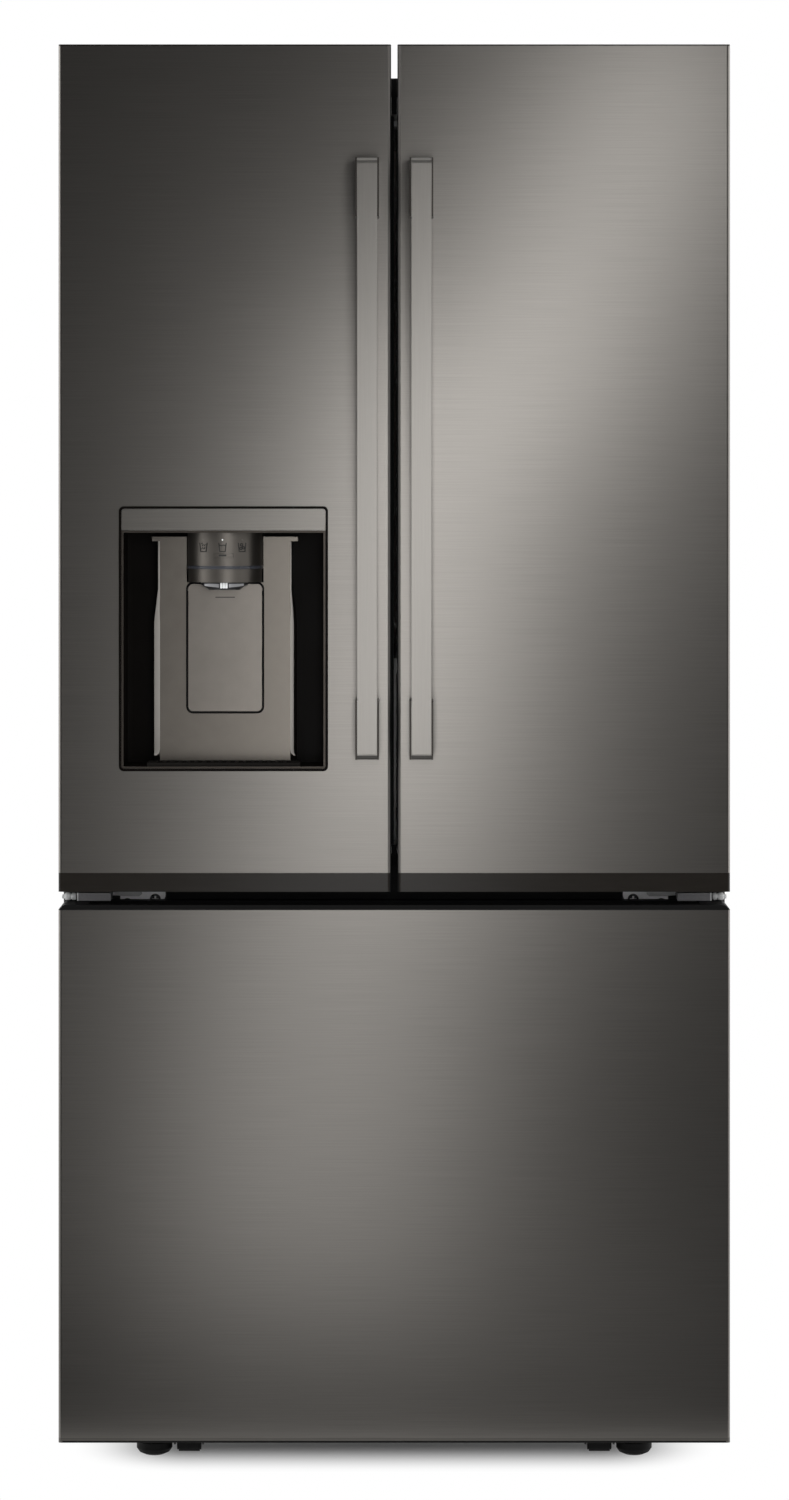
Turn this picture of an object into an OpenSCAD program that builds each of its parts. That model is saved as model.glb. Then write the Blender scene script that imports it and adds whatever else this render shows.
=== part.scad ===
// French door refrigerator: an insulated cabinet with two swinging doors over a pull-out
// freezer drawer, an ice and water dispenser in the left door, and the machinery inside.
// Millimetres. +Z is up, the doors face -Y, and the origin is at the floor, in the middle
// of the whole width and depth. "Ahead" means towards the doors, "behind" away from them.

/* [Cabinet] */
// Width of the cabinet, and of the closed doors together
body_w = 832; // [780:1:900]
// Depth of the cabinet without its doors
case_d = 725; // [700:1:780]
// Height of the cabinet's top above the floor
case_top = 1736; // [1700:1:1780]
// Height of the cabinet's underside above the floor
case_bot = 45; // [43:1:50]
// Thickness of the outer steel case
shell_t = 1.2; // [0.8:0.1:1.6]
// Width of the steel flange around the front of the case
flange_w = 24; // [20:1:26]
// Thickness of the moulded liners
liner_t = 2.5; // [2:0.1:3]
// Thickness of each insulated side wall, case and liner included
wall_t = 48; // [46:1:52]
// Thickness of the insulated top wall
ceiling_t = 46; // [44:1:56]
// Height of the freezer's floor above the cabinet's underside
floor_t = 55; // [50:1:60]
// Height of the freezer's ceiling above the floor
freezer_top = 650; // [646:1:652]
// Height of the fresh food space's floor above the floor
fresh_bot = 770; // [768:1:776]
// Height of the steel cross beam between the two spaces
beam_h = 100; // [90:1:104]
// Depth of the steel cross beam
beam_d = 20; // [15:1:25]
// Thickness of bent steel plate in the beam and brackets
plate_t = 2.5; // [2:0.1:3]
// Depth of the fresh food space
fresh_d = 630; // [600:1:660]
// Depth of the freezer behind the basket's upper part
freezer_d = 600; // [590:1:620]
// Depth of the freezer's lower part, ahead of the machinery
freezer_low_d = 440; // [436:1:445]
// Height of the freezer's low part above the floor
step_z = 290; // [285:1:300]
// Depth of the machine compartment
machine_d = 235; // [225:1:240]
// Height of the machine compartment's top above the floor
machine_top = 262; // [255:1:265]

/* [Doors] */
// Thickness of the doors and the drawer front
door_t = 80; // [76:1:84]
// Gap between the doors and the cabinet, filled by the gaskets
door_gap = 12; // [11:0.5:13]
// Gap between the two doors
centre_gap = 8; // [7:0.5:10]
// How far the doors' top stands above the cabinet's top
door_over = 34; // [30:1:60]
// Height of the doors' bottom above the floor
door_bot = 720.6; // [720.2:0.1:722]
// Height of the doors' bottom caps
bottom_cap_h = 23.4; // [22.8:0.1:26]
// Thickness of the metal skin of the doors and drawer
skin_t = 1.2; // [0.8:0.1:1.6]
// Radius of the skin's front corners
corner_r = 4; // [3:0.5:6]
// Distance of the hinge pins from the doors' outer edges
pin_in = 12.5; // [12:0.1:12.8]
// Distance of the hinge pins ahead of the cabinet
pin_ahead = 28; // [27.5:0.5:30]
// Radius of the hinge pins
pin_r = 5; // [4:0.5:6]
// How far the liners' raised rims reach into the cabinet
rim_d = 20; // [15:1:21]
// Width of the liners' raised rims
rim_w = 22; // [18:1:26]
// Distance of the raised rims from the doors' outer edges
rim_out = 54; // [52:1:56]
// Distance of the raised rims from the middle of the cabinet
rim_mid = 62; // [61:1:66]
// Width of a gasket
gasket_w = 14; // [10:1:14]
// Height of the thin upper plate of the doors' top caps
cap_lip = 1.5; // [1.2:0.1:2.5]

/* [Drawer] */
// Height of the drawer's bottom above the floor
drawer_bot = 38.4; // [36:0.1:42]
// Height of the drawer's top above the floor
drawer_top = 704; // [700:0.1:704.2]
// Height of the drawer's top and bottom caps
drawer_cap_h = 6; // [5:0.5:8]
// Width of the grip hollow behind the drawer's top edge
grip_w = 760; // [300:1:764]
// Length of the grip hollow from front to back
grip_l = 42; // [36:1:44]
// Depth of the grip hollow
grip_d = 40; // [30:1:45]
// Distance of the grip hollow behind the drawer's front
grip_y = 18; // [15:1:20]
// Height of the drawer rails' middle line above the floor
rail_z = 250; // [245:1:255]
// Height of the rails' outer members
rail_h = 48; // [44:1:50]
// Distance of the rails' rear ends from the rear wall of the freezer's low part
rail_back = 20; // [16:1:40]
// Height of the basket's rim above the floor
basket_top = 410; // [400:1:430]
// Height of the freezer tray
tray_h = 110; // [80:1:150]
// Depth of the freezer tray from front to back
tray_d = 270; // [250:1:275]
// Wall of the basket, tray and crispers
bin_t = 3; // [2.5:0.1:3.5]

/* [Handles] */
// Distance of the handles' upper ends below the doors' top
handle_down = 144; // [120:1:160]
// Height of the handles' lower ends above the floor
handle_z = 888; // [870:1:920]
// Width of a handle's bar
bar_w = 24.5; // [22:0.5:27]
// Thickness of a handle's bar
bar_t = 15; // [12:0.5:18]
// How far the handles stand out from the doors
handle_out = 62; // [55:1:70]
// Width of a handle's end posts
post_w = 29; // [28:0.5:31]
// Height of a handle's end posts
post_h = 72; // [60:1:80]
// Distance of each handle's middle line from the middle of the doors
handle_x = 33.3; // [30:0.1:36]

/* [Dispenser] */
// Distance of the dispenser's middle line from the middle of the doors
disp_x = 211.5; // [208:0.5:216]
// Height of the dispenser's lower edge above the floor
disp_z = 870; // [860:1:880]
// Width of the dispenser's bezel
disp_w = 259; // [255:1:262]
// Height of the dispenser's bezel
disp_h = 328; // [320:1:340]
// Depth of the dispenser's hollow
disp_d = 86; // [82:1:88]
// Width of the bezel's rim
bezel_w = 3; // [2.5:0.5:5]
// How far the bezel stands out from the door
bezel_out = 1.5; // [1:0.1:2.5]
// Height of the plain header plate
header_h = 27; // [24:1:30]
// Radius of the round nozzle housing
nozzle_r = 47; // [44:1:50]
// Height of the nozzle housing, its lower ring included
nozzle_h = 62; // [56:1:64]
// Height of the lower ring of the nozzle housing
ring_h = 16; // [12:1:20]
// Width of the paddle
paddle_w = 92; // [85:1:95]
// Height of the paddle
paddle_h = 159; // [140:1:165]
// Thickness of the paddle
paddle_t = 6; // [5:0.5:7]
// Radius of the paddle's pivot pins
paddle_pin_r = 2.5; // [2:0.1:3]
// Width of the selector button
button_w = 24; // [18:1:28]
// Height of the selector button
button_h = 5; // [4:0.5:8]
// Travel of the selector button
button_travel = 1.5; // [1:0.1:2]

/* [Mullion] */
// Thickness of the folding mullion
mullion_t = 21; // [18:1:21]
// Distance of the mullion's pivot from the middle of the doors
mullion_pivot_x = 44; // [43:0.5:45]
// Distance of the mullion's pivot behind the cabinet's front
mullion_pivot_y = 8; // [7.5:0.5:9]
// Radius of the mullion's pins
mullion_pin_r = 2.5; // [2:0.1:3]

/* [Inside] */
// How far the shelves stand back from the cabinet's front
shelf_back = 120; // [115:1:140]
// Thickness of a glass shelf
glass_t = 4; // [3:0.5:5]
// Height of a shelf's frame
frame_h = 14; // [12:1:18]
// Distance of the upper pair of shelves below the ice room
ice_under = 44.8; // [40:0.2:60]
// Height of the lower pair of shelves, as a share of the way from the crispers to the upper pair
shelf_low_share = 0.47; // [0.4:0.01:0.55]
// Height of the single top shelf, as a share of the way from the upper pair to the ceiling
shelf_top_share = 0.545; // [0.5:0.005:0.6]
// Height of a crisper
crisper_h = 200; // [180:1:204]
// Depth of a crisper from front to back
crisper_d = 480; // [440:1:500]
// How far the crispers stand back from the cabinet's front
crisper_back = 80; // [78:1:95]
// Distance of the crispers' outer sides from the side walls
crisper_side = 38; // [38:1:45]
// Height of the crisper cover's top above the floor
cover_z = 1000; // [990:1:1005]
// Height of a door bin
door_bin_h = 95; // [80:1:110]
// How far the door bins reach behind the cabinet's front
door_bin_d = 95; // [70:1:100]
// Height of the ice room
ice_h = 240; // [220:1:245]
// Width of the ice room
ice_w = 210; // [190:1:216]
// Wall of the ice room
ice_t = 14; // [12:1:16]

/* [Feet and rollers] */
// Distance of the levelling feet from the cabinet's sides
foot_in = 113; // [110:1:116]
// Distance of the levelling feet and front rollers behind the cabinet's front
foot_y = 24; // [24:1:30]
// Radius of a levelling foot
foot_r = 22.5; // [20:0.5:24]
// Height of a levelling foot's pad
foot_h = 20; // [16:1:20]
// Radius of a levelling foot's stem
stem_r = 5; // [4:0.5:6]
// Height of a levelling foot with its stem
foot_full_h = 64; // [60:1:65]
// Distance of the front rollers from the cabinet's sides
front_roller_in = 157; // [156:1:160]
// Distance of the rear rollers from the cabinet's sides
rear_roller_in = 76; // [66:1:116]
// Radius of a roller
roller_r = 19; // [18:0.5:20]
// Width of a roller
roller_w = 30; // [26:1:31]
// Height of the front rollers above the floor, with the feet screwed out
roller_lift = 3; // [2:0.5:4]
// Radius of a roller's axle
axle_r = 4; // [3:0.5:5]

/* [Fits] */
// Gap between pieces that lie against each other
seat = 0.2; // [0.1:0.05:0.3]
// Gap between pieces that slide, and around soft parts
slide_gap = 0.3; // [0.25:0.05:0.4]
// Radial gap of a pin in its hole
run_gap = 0.05; // [0.03:0.01:0.08]

/* [Hidden] */
$fn = 48;
arc_n = 6;
cut = 1;

// Depths, from the handles' fronts to the cabinet's rear
overall_d = handle_out + door_t + door_gap + case_d;
y_rear = overall_d / 2;
y_case = y_rear - case_d;
y_back = y_case - door_gap;
y_front = y_back - door_t;
y_handle = y_front - handle_out;

// Widths, as distances from the middle plane
half_w = body_w / 2;
half_in = half_w - wall_t;
half_flange = half_w - flange_w;
door_in = centre_gap / 2;
pin_x = half_w - pin_in;
foot_x = half_w - foot_in;
front_roller_x = half_w - front_roller_in;
rear_roller_x = half_w - rear_roller_in;
y_pin = y_case - pin_ahead;

// Heights
door_top = case_top + door_over;
handle_l = door_top - handle_down - handle_z;
fresh_top = case_top - ceiling_t;
freezer_bot = case_bot + floor_t;
beam_bot = (freezer_top + fresh_bot - beam_h) / 2;
beam_top = beam_bot + beam_h;
skin_bot = door_bot + bottom_cap_h;
pan_top = case_bot + plate_t;
cap_base = case_top - 1;

// Hinges
top_plate_t = 4;
mid_plate_t = 4;
tongue_r = pin_in - 1;
mid_plate_z = door_bot - 5.8;
hinge_cover_l = 130;
top_plate_l = 120;
top_plate_w = 68;
plate_in = 4;
top_screw_y = [45, 95];
mid_wing_in = half_w - 129;
mid_wing_out = half_w - 72;
mid_wing_h = 40;
mid_screws = [[half_w - 115.4, mid_plate_z - 11.8], [half_w - 80.2, mid_plate_z - 17.3]];
mid_nut_r = 7.5;
mid_nut_h = 8;
screw_r = 3;
screw_head_r = 6.9;
screw_head_h = 2.5;
pocket_l = 36;
pocket_top = case_top + top_plate_t + 4;
bush_r = 9;
bush_l = 22;

// Dispenser
disp_top = disp_z + disp_h;
hole_w = disp_w - 2 * bezel_w;
hole_bot = disp_z + bezel_w;
hole_top = disp_top - bezel_w;
header_bot = hole_top - header_h;
house_t = 2.5;
nozzle_y = y_front + 8 + nozzle_r;
nozzle_bot = header_bot - house_t - seat - nozzle_h;
paddle_y = y_front + 58;
paddle_top = nozzle_bot - 3;
paddle_pin_z = paddle_top - 6;
paddle_pin_l = 5;
paddle_gap = 2;
paddle_r = 6;
button_z = nozzle_bot + 31;
// The raised panel round the paddle, its ledges and the wall behind its pocket
panel_w = 178;
panel_y = y_front + 54.5;
panel_bevel = 7.5;
panel_waist = 5;
pocket_wall = 4;
flare_z = disp_z + 184;
ledge_z = header_bot - 13;
ledge_t = 4.5;
ledge_w = 182;
ledge_out = 3;

// Drawer, rails and freezer
rail_t = 2;
rail_l = freezer_low_d - rim_d - rail_back;
rail_out = half_in - seat;
rail_in = rail_out - 16;
mid_half_h = rail_h / 2 - rail_t - slide_gap;
inner_half_h = mid_half_h - rail_t - slide_gap;
basket_w = 2 * (rail_in - 20);
basket_bot = freezer_bot + 12;
basket_y = y_case + rim_d + 5;
basket_d = freezer_low_d - rim_d - 15;
tray_z = basket_top + slide_gap;
tray_y = basket_y + basket_d - tray_d - 5;
drawer_rim_x = rail_in - 12;
evap_y = y_case + 520;

// Rollers and feet
front_axle_z = roller_r + roller_lift;
ear_gap = roller_w / 2 + 1.5;
rear_roller_y = y_case + 655;
foot_travel = 18;

// A box between two opposite corners
module block(lo, hi) {
    translate(lo) cube(hi - lo);
}

// The same thing on the left and on the right
module both_sides() {
    children();
    mirror([1, 0, 0]) children();
}

// Points of a quarter circle about c, starting at angle a
function quarter(c, r, a) = [for (i = [0:arc_n]) c + r * [cos(a + 90 * i / arc_n), sin(a + 90 * i / arc_n)]];

// Plan of a door or drawer front, rounded at its two front corners and inset all round but the back
function front_plan(x0, x1, inset) =
    let (r = max(corner_r - inset, 0.5), lo = [x0 + inset, y_front + inset], hi_x = x1 - inset)
    concat(
        [[lo[0], y_back]],
        quarter([lo[0] + r, lo[1] + r], r, 180),
        quarter([hi_x - r, lo[1] + r], r, 270),
        [[hi_x, y_back]]
    );

// A rectangle with rounded corners, as points about its middle
function round_rect(w, h, r) = concat(
    quarter([w / 2 - r, h / 2 - r], r, 0),
    quarter([r - w / 2, h / 2 - r], r, 90),
    quarter([r - w / 2, r - h / 2], r, 180),
    quarter([w / 2 - r, r - h / 2], r, 270)
);

// A rectangular ring that lies against an upright plane, from y0 back to y1
module ring(x0, x1, z0, z1, w, y0, y1) {
    difference() {
        block([x0, y0, z0], [x1, y1, z1]);
        block([x0 + w, y0 - cut, z0 + w], [x1 - w, y1 + cut, z1 - w]);
    }
}

// An open-topped box with a flat floor
module open_box(lo, hi, t) {
    difference() {
        block(lo, hi);
        block(lo + [t, t, t], [hi[0] - t, hi[1] - t, hi[2] + cut]);
    }
}

// A cylinder along Y from y0 to y1
module rod_y(x, z, r, y0, y1) {
    translate([x, y0, z]) rotate([-90, 0, 0]) cylinder(r = r, h = y1 - y0);
}

// A cylinder along X from x0 to x1
module rod_x(y, z, r, x0, x1) {
    translate([x0, y, z]) rotate([0, 90, 0]) cylinder(r = r, h = x1 - x0);
}

// ---------------------------------------------------------------- cabinet

module case_shell() {
    color("#2c2b2b") difference() {
        block([-half_w, y_case, case_bot], [half_w, y_rear, case_top]);
        block([shell_t - half_w, y_case + shell_t, case_bot - cut], [half_w - shell_t, y_rear + cut, case_top - shell_t]);
        block([-half_flange, y_case - cut, case_bot - cut], [half_flange, y_case + shell_t + cut, case_top - flange_w]);
        both_sides() top_screw_holes();
    }
}

module top_screw_holes() {
    for (y = top_screw_y) {
        translate([pin_x - 18, y_case + y, case_top - shell_t - cut]) cylinder(r = screw_r + 0.2, h = 12);
    }
}

module rear_panels() {
    inner = half_w - shell_t - seat;
    color("#8d8f90") {
        block([-inner, y_rear - shell_t, machine_top + seat], [inner, y_rear, case_top - shell_t - seat]);
        difference() {
            block([-inner, y_rear - shell_t, pan_top + seat], [inner, y_rear, machine_top]);
            for (i = [0:17], side = [-1, 1]) {
                x = side * (60 + i * 14);
                block([x - 3, y_rear - shell_t - cut, pan_top + 40], [x + 3, y_rear + cut, machine_top - 70]);
            }
            rod_y(gland_x, gland_z, gland_r + seat, y_rear - shell_t - cut, y_rear + cut);
        }
    }
}

gland_x = half_w - 40;
gland_z = machine_top - 35;
gland_r = 9;

module cord_gland() {
    color("#1c1c1c") difference() {
        union() {
            rod_y(gland_x, gland_z, gland_r, y_rear - 22, y_rear - 0.4);
            rod_y(gland_x, gland_z, gland_r + 4, y_rear - shell_t - seat - 5, y_rear - shell_t - seat);
        }
        rod_y(gland_x, gland_z, 4.2, y_rear - 24, y_rear + cut);
    }
}

// One ear plate with the axle's height inside it
module roller_ear(x, y, z_axle) {
    block([x - plate_t / 2, y - 14, z_axle - 8], [x + plate_t / 2, y + 14, case_bot]);
}

module roller_bracket(x, y, z_axle) {
    ear_x = ear_gap + plate_t / 2;
    for (side = [-1, 1]) roller_ear(x + side * ear_x, y, z_axle);
    rod_x(y, z_axle, axle_r, x - ear_x, x + ear_x);
}

module base_frame() {
    inner = half_w - shell_t - seat;
    color("#3a3a3a") difference() {
        union() {
            block([-inner, y_case + liner_t + seat, case_bot], [inner, y_rear - seat, pan_top]);
            both_sides() {
                roller_bracket(front_roller_x, y_case + foot_y, front_axle_z);
                roller_bracket(rear_roller_x, rear_roller_y, roller_r);
            }
        }
        both_sides() translate([foot_x, y_case + foot_y, case_bot - cut])
            cylinder(r = stem_r + run_gap, h = plate_t + 2 * cut);
    }
}

module insulation() {
    x = half_w - shell_t - seat;
    stem_top = foot_full_h + foot_travel + 2;
    color("#e8dfc0") difference() {
        block([-x, y_case + liner_t + seat, pan_top + seat], [x, y_rear - shell_t - seat, case_top - shell_t - seat]);
        fresh_space(liner_t + seat);
        freezer_space(liner_t + seat);
        block([-x - cut, y_rear - machine_d, pan_top - cut], [x + cut, y_rear + cut, machine_top]);
        block([-x - cut, y_case, beam_bot], [x + cut, y_case + beam_d + seat, beam_top]);
        both_sides() {
            translate([foot_x, y_case + foot_y, pan_top - cut]) cylinder(r = stem_r + 2, h = stem_top - pan_top + cut);
            translate([0, 0, -2]) top_screw_holes();
        }
    }
}

// The fresh food space, larger by m all round and open ahead
module fresh_space(m) {
    block([-half_in - m, y_case - cut, fresh_bot - m], [half_in + m, y_case + fresh_d + m, fresh_top + m]);
}

// The freezer, with its step over the machine compartment
module freezer_space(m) {
    block([-half_in - m, y_case - cut, freezer_bot - m], [half_in + m, y_case + freezer_low_d + m, freezer_top + m]);
    block([-half_in - m, y_case, step_z - m], [half_in + m, y_case + freezer_d + m, freezer_top + m]);
}

// The liners' front flange, from one height to another
module liner_flange(z0, z1) {
    block([seat - half_flange, y_case, z0], [half_flange - seat, y_case + liner_t, z1]);
}

module fresh_liner() {
    color("#f1f1ef") difference() {
        union() {
            intersection() {
                fresh_space(liner_t);
                block([-half_w, y_case, fresh_bot - 50], [half_w, y_rear, case_top]);
            }
            liner_flange(beam_top + seat, case_top - flange_w - seat);
        }
        fresh_space(0);
    }
}

module freezer_liner() {
    color("#f1f1ef") difference() {
        union() {
            intersection() {
                freezer_space(liner_t);
                block([-half_w, y_case, case_bot], [half_w, y_rear, beam_top]);
            }
            liner_flange(case_bot + seat, beam_bot - seat);
        }
        freezer_space(0);
    }
}

module centre_beam() {
    x = half_flange - seat;
    color("#161616") difference() {
        block([-x, y_case, beam_bot + seat], [x, y_case + beam_d, beam_top - seat]);
        block([-x - cut, y_case + plate_t, beam_bot + seat + plate_t], [x + cut, y_case + beam_d + cut, beam_top - seat - plate_t]);
        both_sides() mid_screw_holes();
    }
}

module mid_screw_holes() {
    for (s = mid_screws) rod_y(s[0], s[1], screw_r + 0.2, y_case - 8, y_case + beam_d / 2);
}

// ---------------------------------------------------------------- hinges

// A hinge plate's round tongue about the pin, reaching back to y1
module tongue(z, t, y1) {
    translate([pin_x, y_pin, z]) cylinder(r = tongue_r, h = t);
    block([pin_x - tongue_r, y_pin, z], [half_w - plate_in, y1, z + t]);
}

module top_bracket() {
    z = case_top + seat;
    difference() {
        union() {
            tongue(z, top_plate_t, y_case + 10);
            block([half_w - plate_in - top_plate_w, y_case + 2, z], [half_w - plate_in, y_case + top_plate_l, z + top_plate_t]);
            translate([pin_x, y_pin, z - bush_l]) cylinder(r = pin_r, h = bush_l + 1);
        }
        top_screw_holes();
    }
}

module mid_bracket() {
    z = mid_plate_z;
    difference() {
        union() {
            tongue(z, mid_plate_t, y_case - seat);
            block([mid_wing_in, y_case - 16, z], [pin_x, y_case - seat, z + mid_plate_t]);
            block([mid_wing_in, y_case - seat - plate_t, z + 1 - mid_wing_h], [mid_wing_out, y_case - seat, z + 1]);
            translate([pin_x, y_pin, z]) cylinder(r = pin_r, h = bush_l + mid_plate_t);
            translate([pin_x, y_pin, z - mid_nut_h]) cylinder(r = mid_nut_r, h = mid_nut_h + cut, $fn = 6);
        }
        mid_screw_holes();
    }
}

module hinge_brackets() {
    color("#9b9b9a") both_sides() {
        top_bracket();
        mid_bracket();
    }
}

module hinge_covers() {
    z = case_top + seat + top_plate_t + seat;
    both_sides() {
        color("#232323") difference() {
            block([half_w - 80, y_case + 1, case_top + seat], [half_w - 1, y_case + hinge_cover_l, case_top + 30]);
            block([half_w - 77, y_case - cut, case_top], [half_w - 3.5, y_case + hinge_cover_l - 3, z]);
            block([half_w - 77, y_case + 4, case_top], [half_w - 3.5, y_case + hinge_cover_l - 3, case_top + 27]);
        }
        color("#55555a") block([mid_wing_out + 10, y_pin - 16, drawer_top + 0.9], [pin_x - 9, y_pin + 12, mid_plate_z - seat]);
    }
}

module hinge_screws() {
    color("#b9b9b7") both_sides() {
        for (s = mid_screws) {
            y = y_case - seat - plate_t;
            rod_y(s[0], s[1], screw_r, y, y + 6);
            rod_y(s[0], s[1], screw_head_r, y - screw_head_h, y);
        }
        for (y = top_screw_y) translate([pin_x - 18, y_case + y, case_top + seat + top_plate_t]) {
            cylinder(r = screw_head_r, h = screw_head_h);
            translate([0, 0, -top_plate_t - 1]) cylinder(r = screw_r, h = top_plate_t + 1);
        }
    }
}

// ---------------------------------------------------------------- fresh food space

shelf_y0 = y_case + shelf_back;
shelf_y1 = y_case + fresh_d - 14;
shelf_rim = 12;
ice_bot = fresh_top - seat - ice_h;
shelf_high_z = ice_bot - ice_under;
shelf_low_z = cover_z + shelf_low_share * (shelf_high_z - cover_z);
shelf_top_z = shelf_high_z + shelf_top_share * (fresh_top - shelf_high_z);
// Each shelf: its left and right edges and its height
half_gap = 6;
shelves = [
    [-half_in + 8, -half_gap, shelf_low_z], [half_gap, half_in - 8, shelf_low_z],
    [-half_in + 8, -half_gap, shelf_high_z], [half_gap, half_in - 8, shelf_high_z],
    [half_gap, half_in - 8, shelf_top_z]
];

module glass_shelves() {
    color([0.75, 0.85, 0.85, 0.5]) {
        for (s = shelves) {
            block(
                [s[0] + shelf_rim / 2, shelf_y0 + shelf_rim / 2, s[2]],
                [s[1] - shelf_rim / 2, shelf_y1 - shelf_rim / 2, s[2] + glass_t]
            );
        }
        cover_glass(0);
    }
}

// The glass of the crisper cover, larger by m all round
module cover_glass(m) {
    block(
        [-half_in + 26 - m, y_case + crisper_back + 20 - m, cover_z - glass_t - m],
        [half_in - 26 + m, y_case + crisper_back + crisper_d - 20 + m, cover_z + cut]
    );
}

module shelf_frames() {
    color("#dfe2e2") for (s = shelves) {
        difference() {
            union() {
                block([s[0], shelf_y0, s[2] - frame_h + glass_t + 2], [s[1], shelf_y1, s[2] + glass_t + 2]);
                for (x = ladder_x) {
                    if (x > s[0] && x < s[1]) {
                        block([x - 3, shelf_y1 - cut, s[2] - frame_h + glass_t + 2], [x + 3, ladder_y - seat, s[2] + glass_t + 2]);
                    }
                }
            }
            block(
                [s[0] + shelf_rim, shelf_y0 + shelf_rim, s[2] - frame_h],
                [s[1] - shelf_rim, shelf_y1 - shelf_rim, s[2] + frame_h]
            );
            block(
                [s[0] + shelf_rim / 2 - seat, shelf_y0 + shelf_rim / 2 - seat, s[2] - seat],
                [s[1] - shelf_rim / 2 + seat, shelf_y1 - shelf_rim / 2 + seat, s[2] + glass_t + seat]
            );
        }
    }
}

ladder_t = 8;
ladder_y = y_case + fresh_d - ladder_t - seat;
ladder_x = [-half_in + 70, -70, 70, half_in - 70];

module shelf_ladders() {
    color("#c9cccd") for (x = ladder_x) {
        difference() {
            block([x - 12, ladder_y, cover_z + 40], [x + 12, ladder_y + ladder_t, x < 0 ? ice_bot - 5 : fresh_top - 40]);
            for (i = [0:5]) {
                z = cover_z + 60 + i * 60;
                block([x - 2, ladder_y - cut, z], [x + 2, ladder_y + ladder_t / 2, z + 30]);
            }
        }
    }
}

module crisper_cover() {
    y0 = y_case + crisper_back + 6;
    y1 = y_case + crisper_back + crisper_d;
    leg_t = 4;
    under = cover_z - 15;
    side_x = half_in - crisper_side + 4;
    color("#e3e6e6") difference() {
        union() {
            block([seat - half_in, y0, under], [half_in - seat, y1, cover_z + 2]);
            block([-leg_t / 2, y0, fresh_bot + seat], [leg_t / 2, y1, under + cut]);
            both_sides() {
                block([side_x, y0, fresh_bot + seat], [side_x + leg_t, y1, under + cut]);
                block([side_x, y0, fresh_bot + seat], [half_in - seat, y0 + leg_t, under + cut]);
            }
        }
        block([-side_x, y0 + 22, under - cut], [-10, y1 - 22, cover_z + 3]);
        block([10, y0 + 22, under - cut], [side_x, y1 - 22, cover_z + 3]);
        cover_glass(seat);
    }
}

// A crisper between two distances from the middle, on the left
module crisper() {
    x0 = crisper_side - half_in;
    x1 = -5 - 2 * slide_gap - 3;
    y0 = y_case + crisper_back;
    z0 = fresh_bot + slide_gap;
    open_box([x0, y0, z0], [x1, y0 + crisper_d, z0 + crisper_h], bin_t);
    block([x0, y0, z0 + crisper_h - 18], [x1, y0 + 14, z0 + crisper_h - 15]);
}

module left_crisper() {
    color([0.85, 0.9, 0.92, 0.6]) crisper();
}

module right_crisper() {
    color([0.85, 0.9, 0.92, 0.6]) mirror([1, 0, 0]) crisper();
}

// ---------------------------------------------------------------- ice room

ice_x0 = -half_in + seat;
ice_y0 = shelf_y0 + 10;
ice_y1 = y_case + fresh_d - seat;
bucket_t = 3;
bucket_h = 130;
bucket_front_t = 14;
ice_rear_t = ice_t + 40;
auger_x = ice_x0 + ice_w / 2;
auger_z = ice_bot + ice_t + 62;
auger_r = 6;
auger_blade = 50;
auger_end = 30;
auger_seat_l = 26;

module ice_room() {
    color("#e9ebeb") difference() {
        block([ice_x0, ice_y0, ice_bot], [ice_x0 + ice_w, ice_y1, fresh_top - seat]);
        block(
            [ice_x0 + ice_t, ice_y0 - cut, ice_bot + ice_t],
            [ice_x0 + ice_w - ice_t, ice_y1 - ice_rear_t, fresh_top - seat - ice_t]
        );
        rod_y(auger_x, auger_z, auger_r + run_gap, ice_y1 - ice_rear_t - cut, ice_y1 - ice_rear_t + auger_seat_l + 2);
    }
}

module ice_bucket() {
    y1 = ice_y1 - ice_rear_t - 4;
    x0 = ice_x0 + ice_t + seat;
    x1 = ice_x0 + ice_w - ice_t - seat;
    z0 = ice_bot + ice_t + seat;
    color("#dfe6ea") difference() {
        union() {
            block([x0, ice_y0, z0], [x1, y1, z0 + bucket_h]);
            block([x0, ice_y0, z0], [x1, ice_y0 + bucket_front_t, fresh_top - seat - ice_t - seat]);
        }
        block([x0 + bucket_t, ice_y0 + bucket_front_t, z0 + bucket_t], [x1 - bucket_t, y1 - bucket_t, z0 + bucket_h + cut]);
        rod_y(auger_x, auger_z, auger_r + run_gap, ice_y0 + 4, y1 + cut);
    }
}

module ice_auger() {
    y1 = ice_y1 - ice_rear_t + auger_seat_l;
    blades = 9;
    pitch = (ice_y1 - ice_rear_t - ice_y0 - 2 * auger_end) / blades;
    color("#b5b8ba") {
        rod_y(auger_x, auger_z, auger_r, ice_y0 + 5, y1);
        for (i = [0:blades - 1]) translate([auger_x, ice_y0 + auger_end + i * pitch, auger_z]) rotate([0, i * 40, 0])
            block([-auger_blade, -2, -auger_r], [auger_blade, 2, auger_r]);
    }
}

// ---------------------------------------------------------------- cooling

evap_side = 60;
evap_h = 180;
evap_tube_gap = 45;
evap_fan_down = 80;
vent_pitch = 90;
vent_w = 60;
vent_h = 12;

module evaporator() {
    x = half_in - evap_side;
    z0 = step_z + 25;
    y0 = evap_y + 14;
    y1 = y_case + freezer_d - seat;
    color("#c4c8ca") {
        for (i = [0:23]) {
            fx = -x + i * 2 * x / 23;
            block([fx - 0.75, y0, z0], [fx + 0.75, y1, z0 + evap_h]);
        }
        for (i = [0:3], y = [y0 + 14, y1 - 14]) rod_x(y, z0 + (i + 0.5) * evap_tube_gap, 4, -x - 6, x + 6);
    }
}

fan_r = 50;
evap_fan_z = freezer_top - evap_fan_down;
fan_shaft_r = 3;
fan_hub_l = 18;
motor_l = 22;

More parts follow.
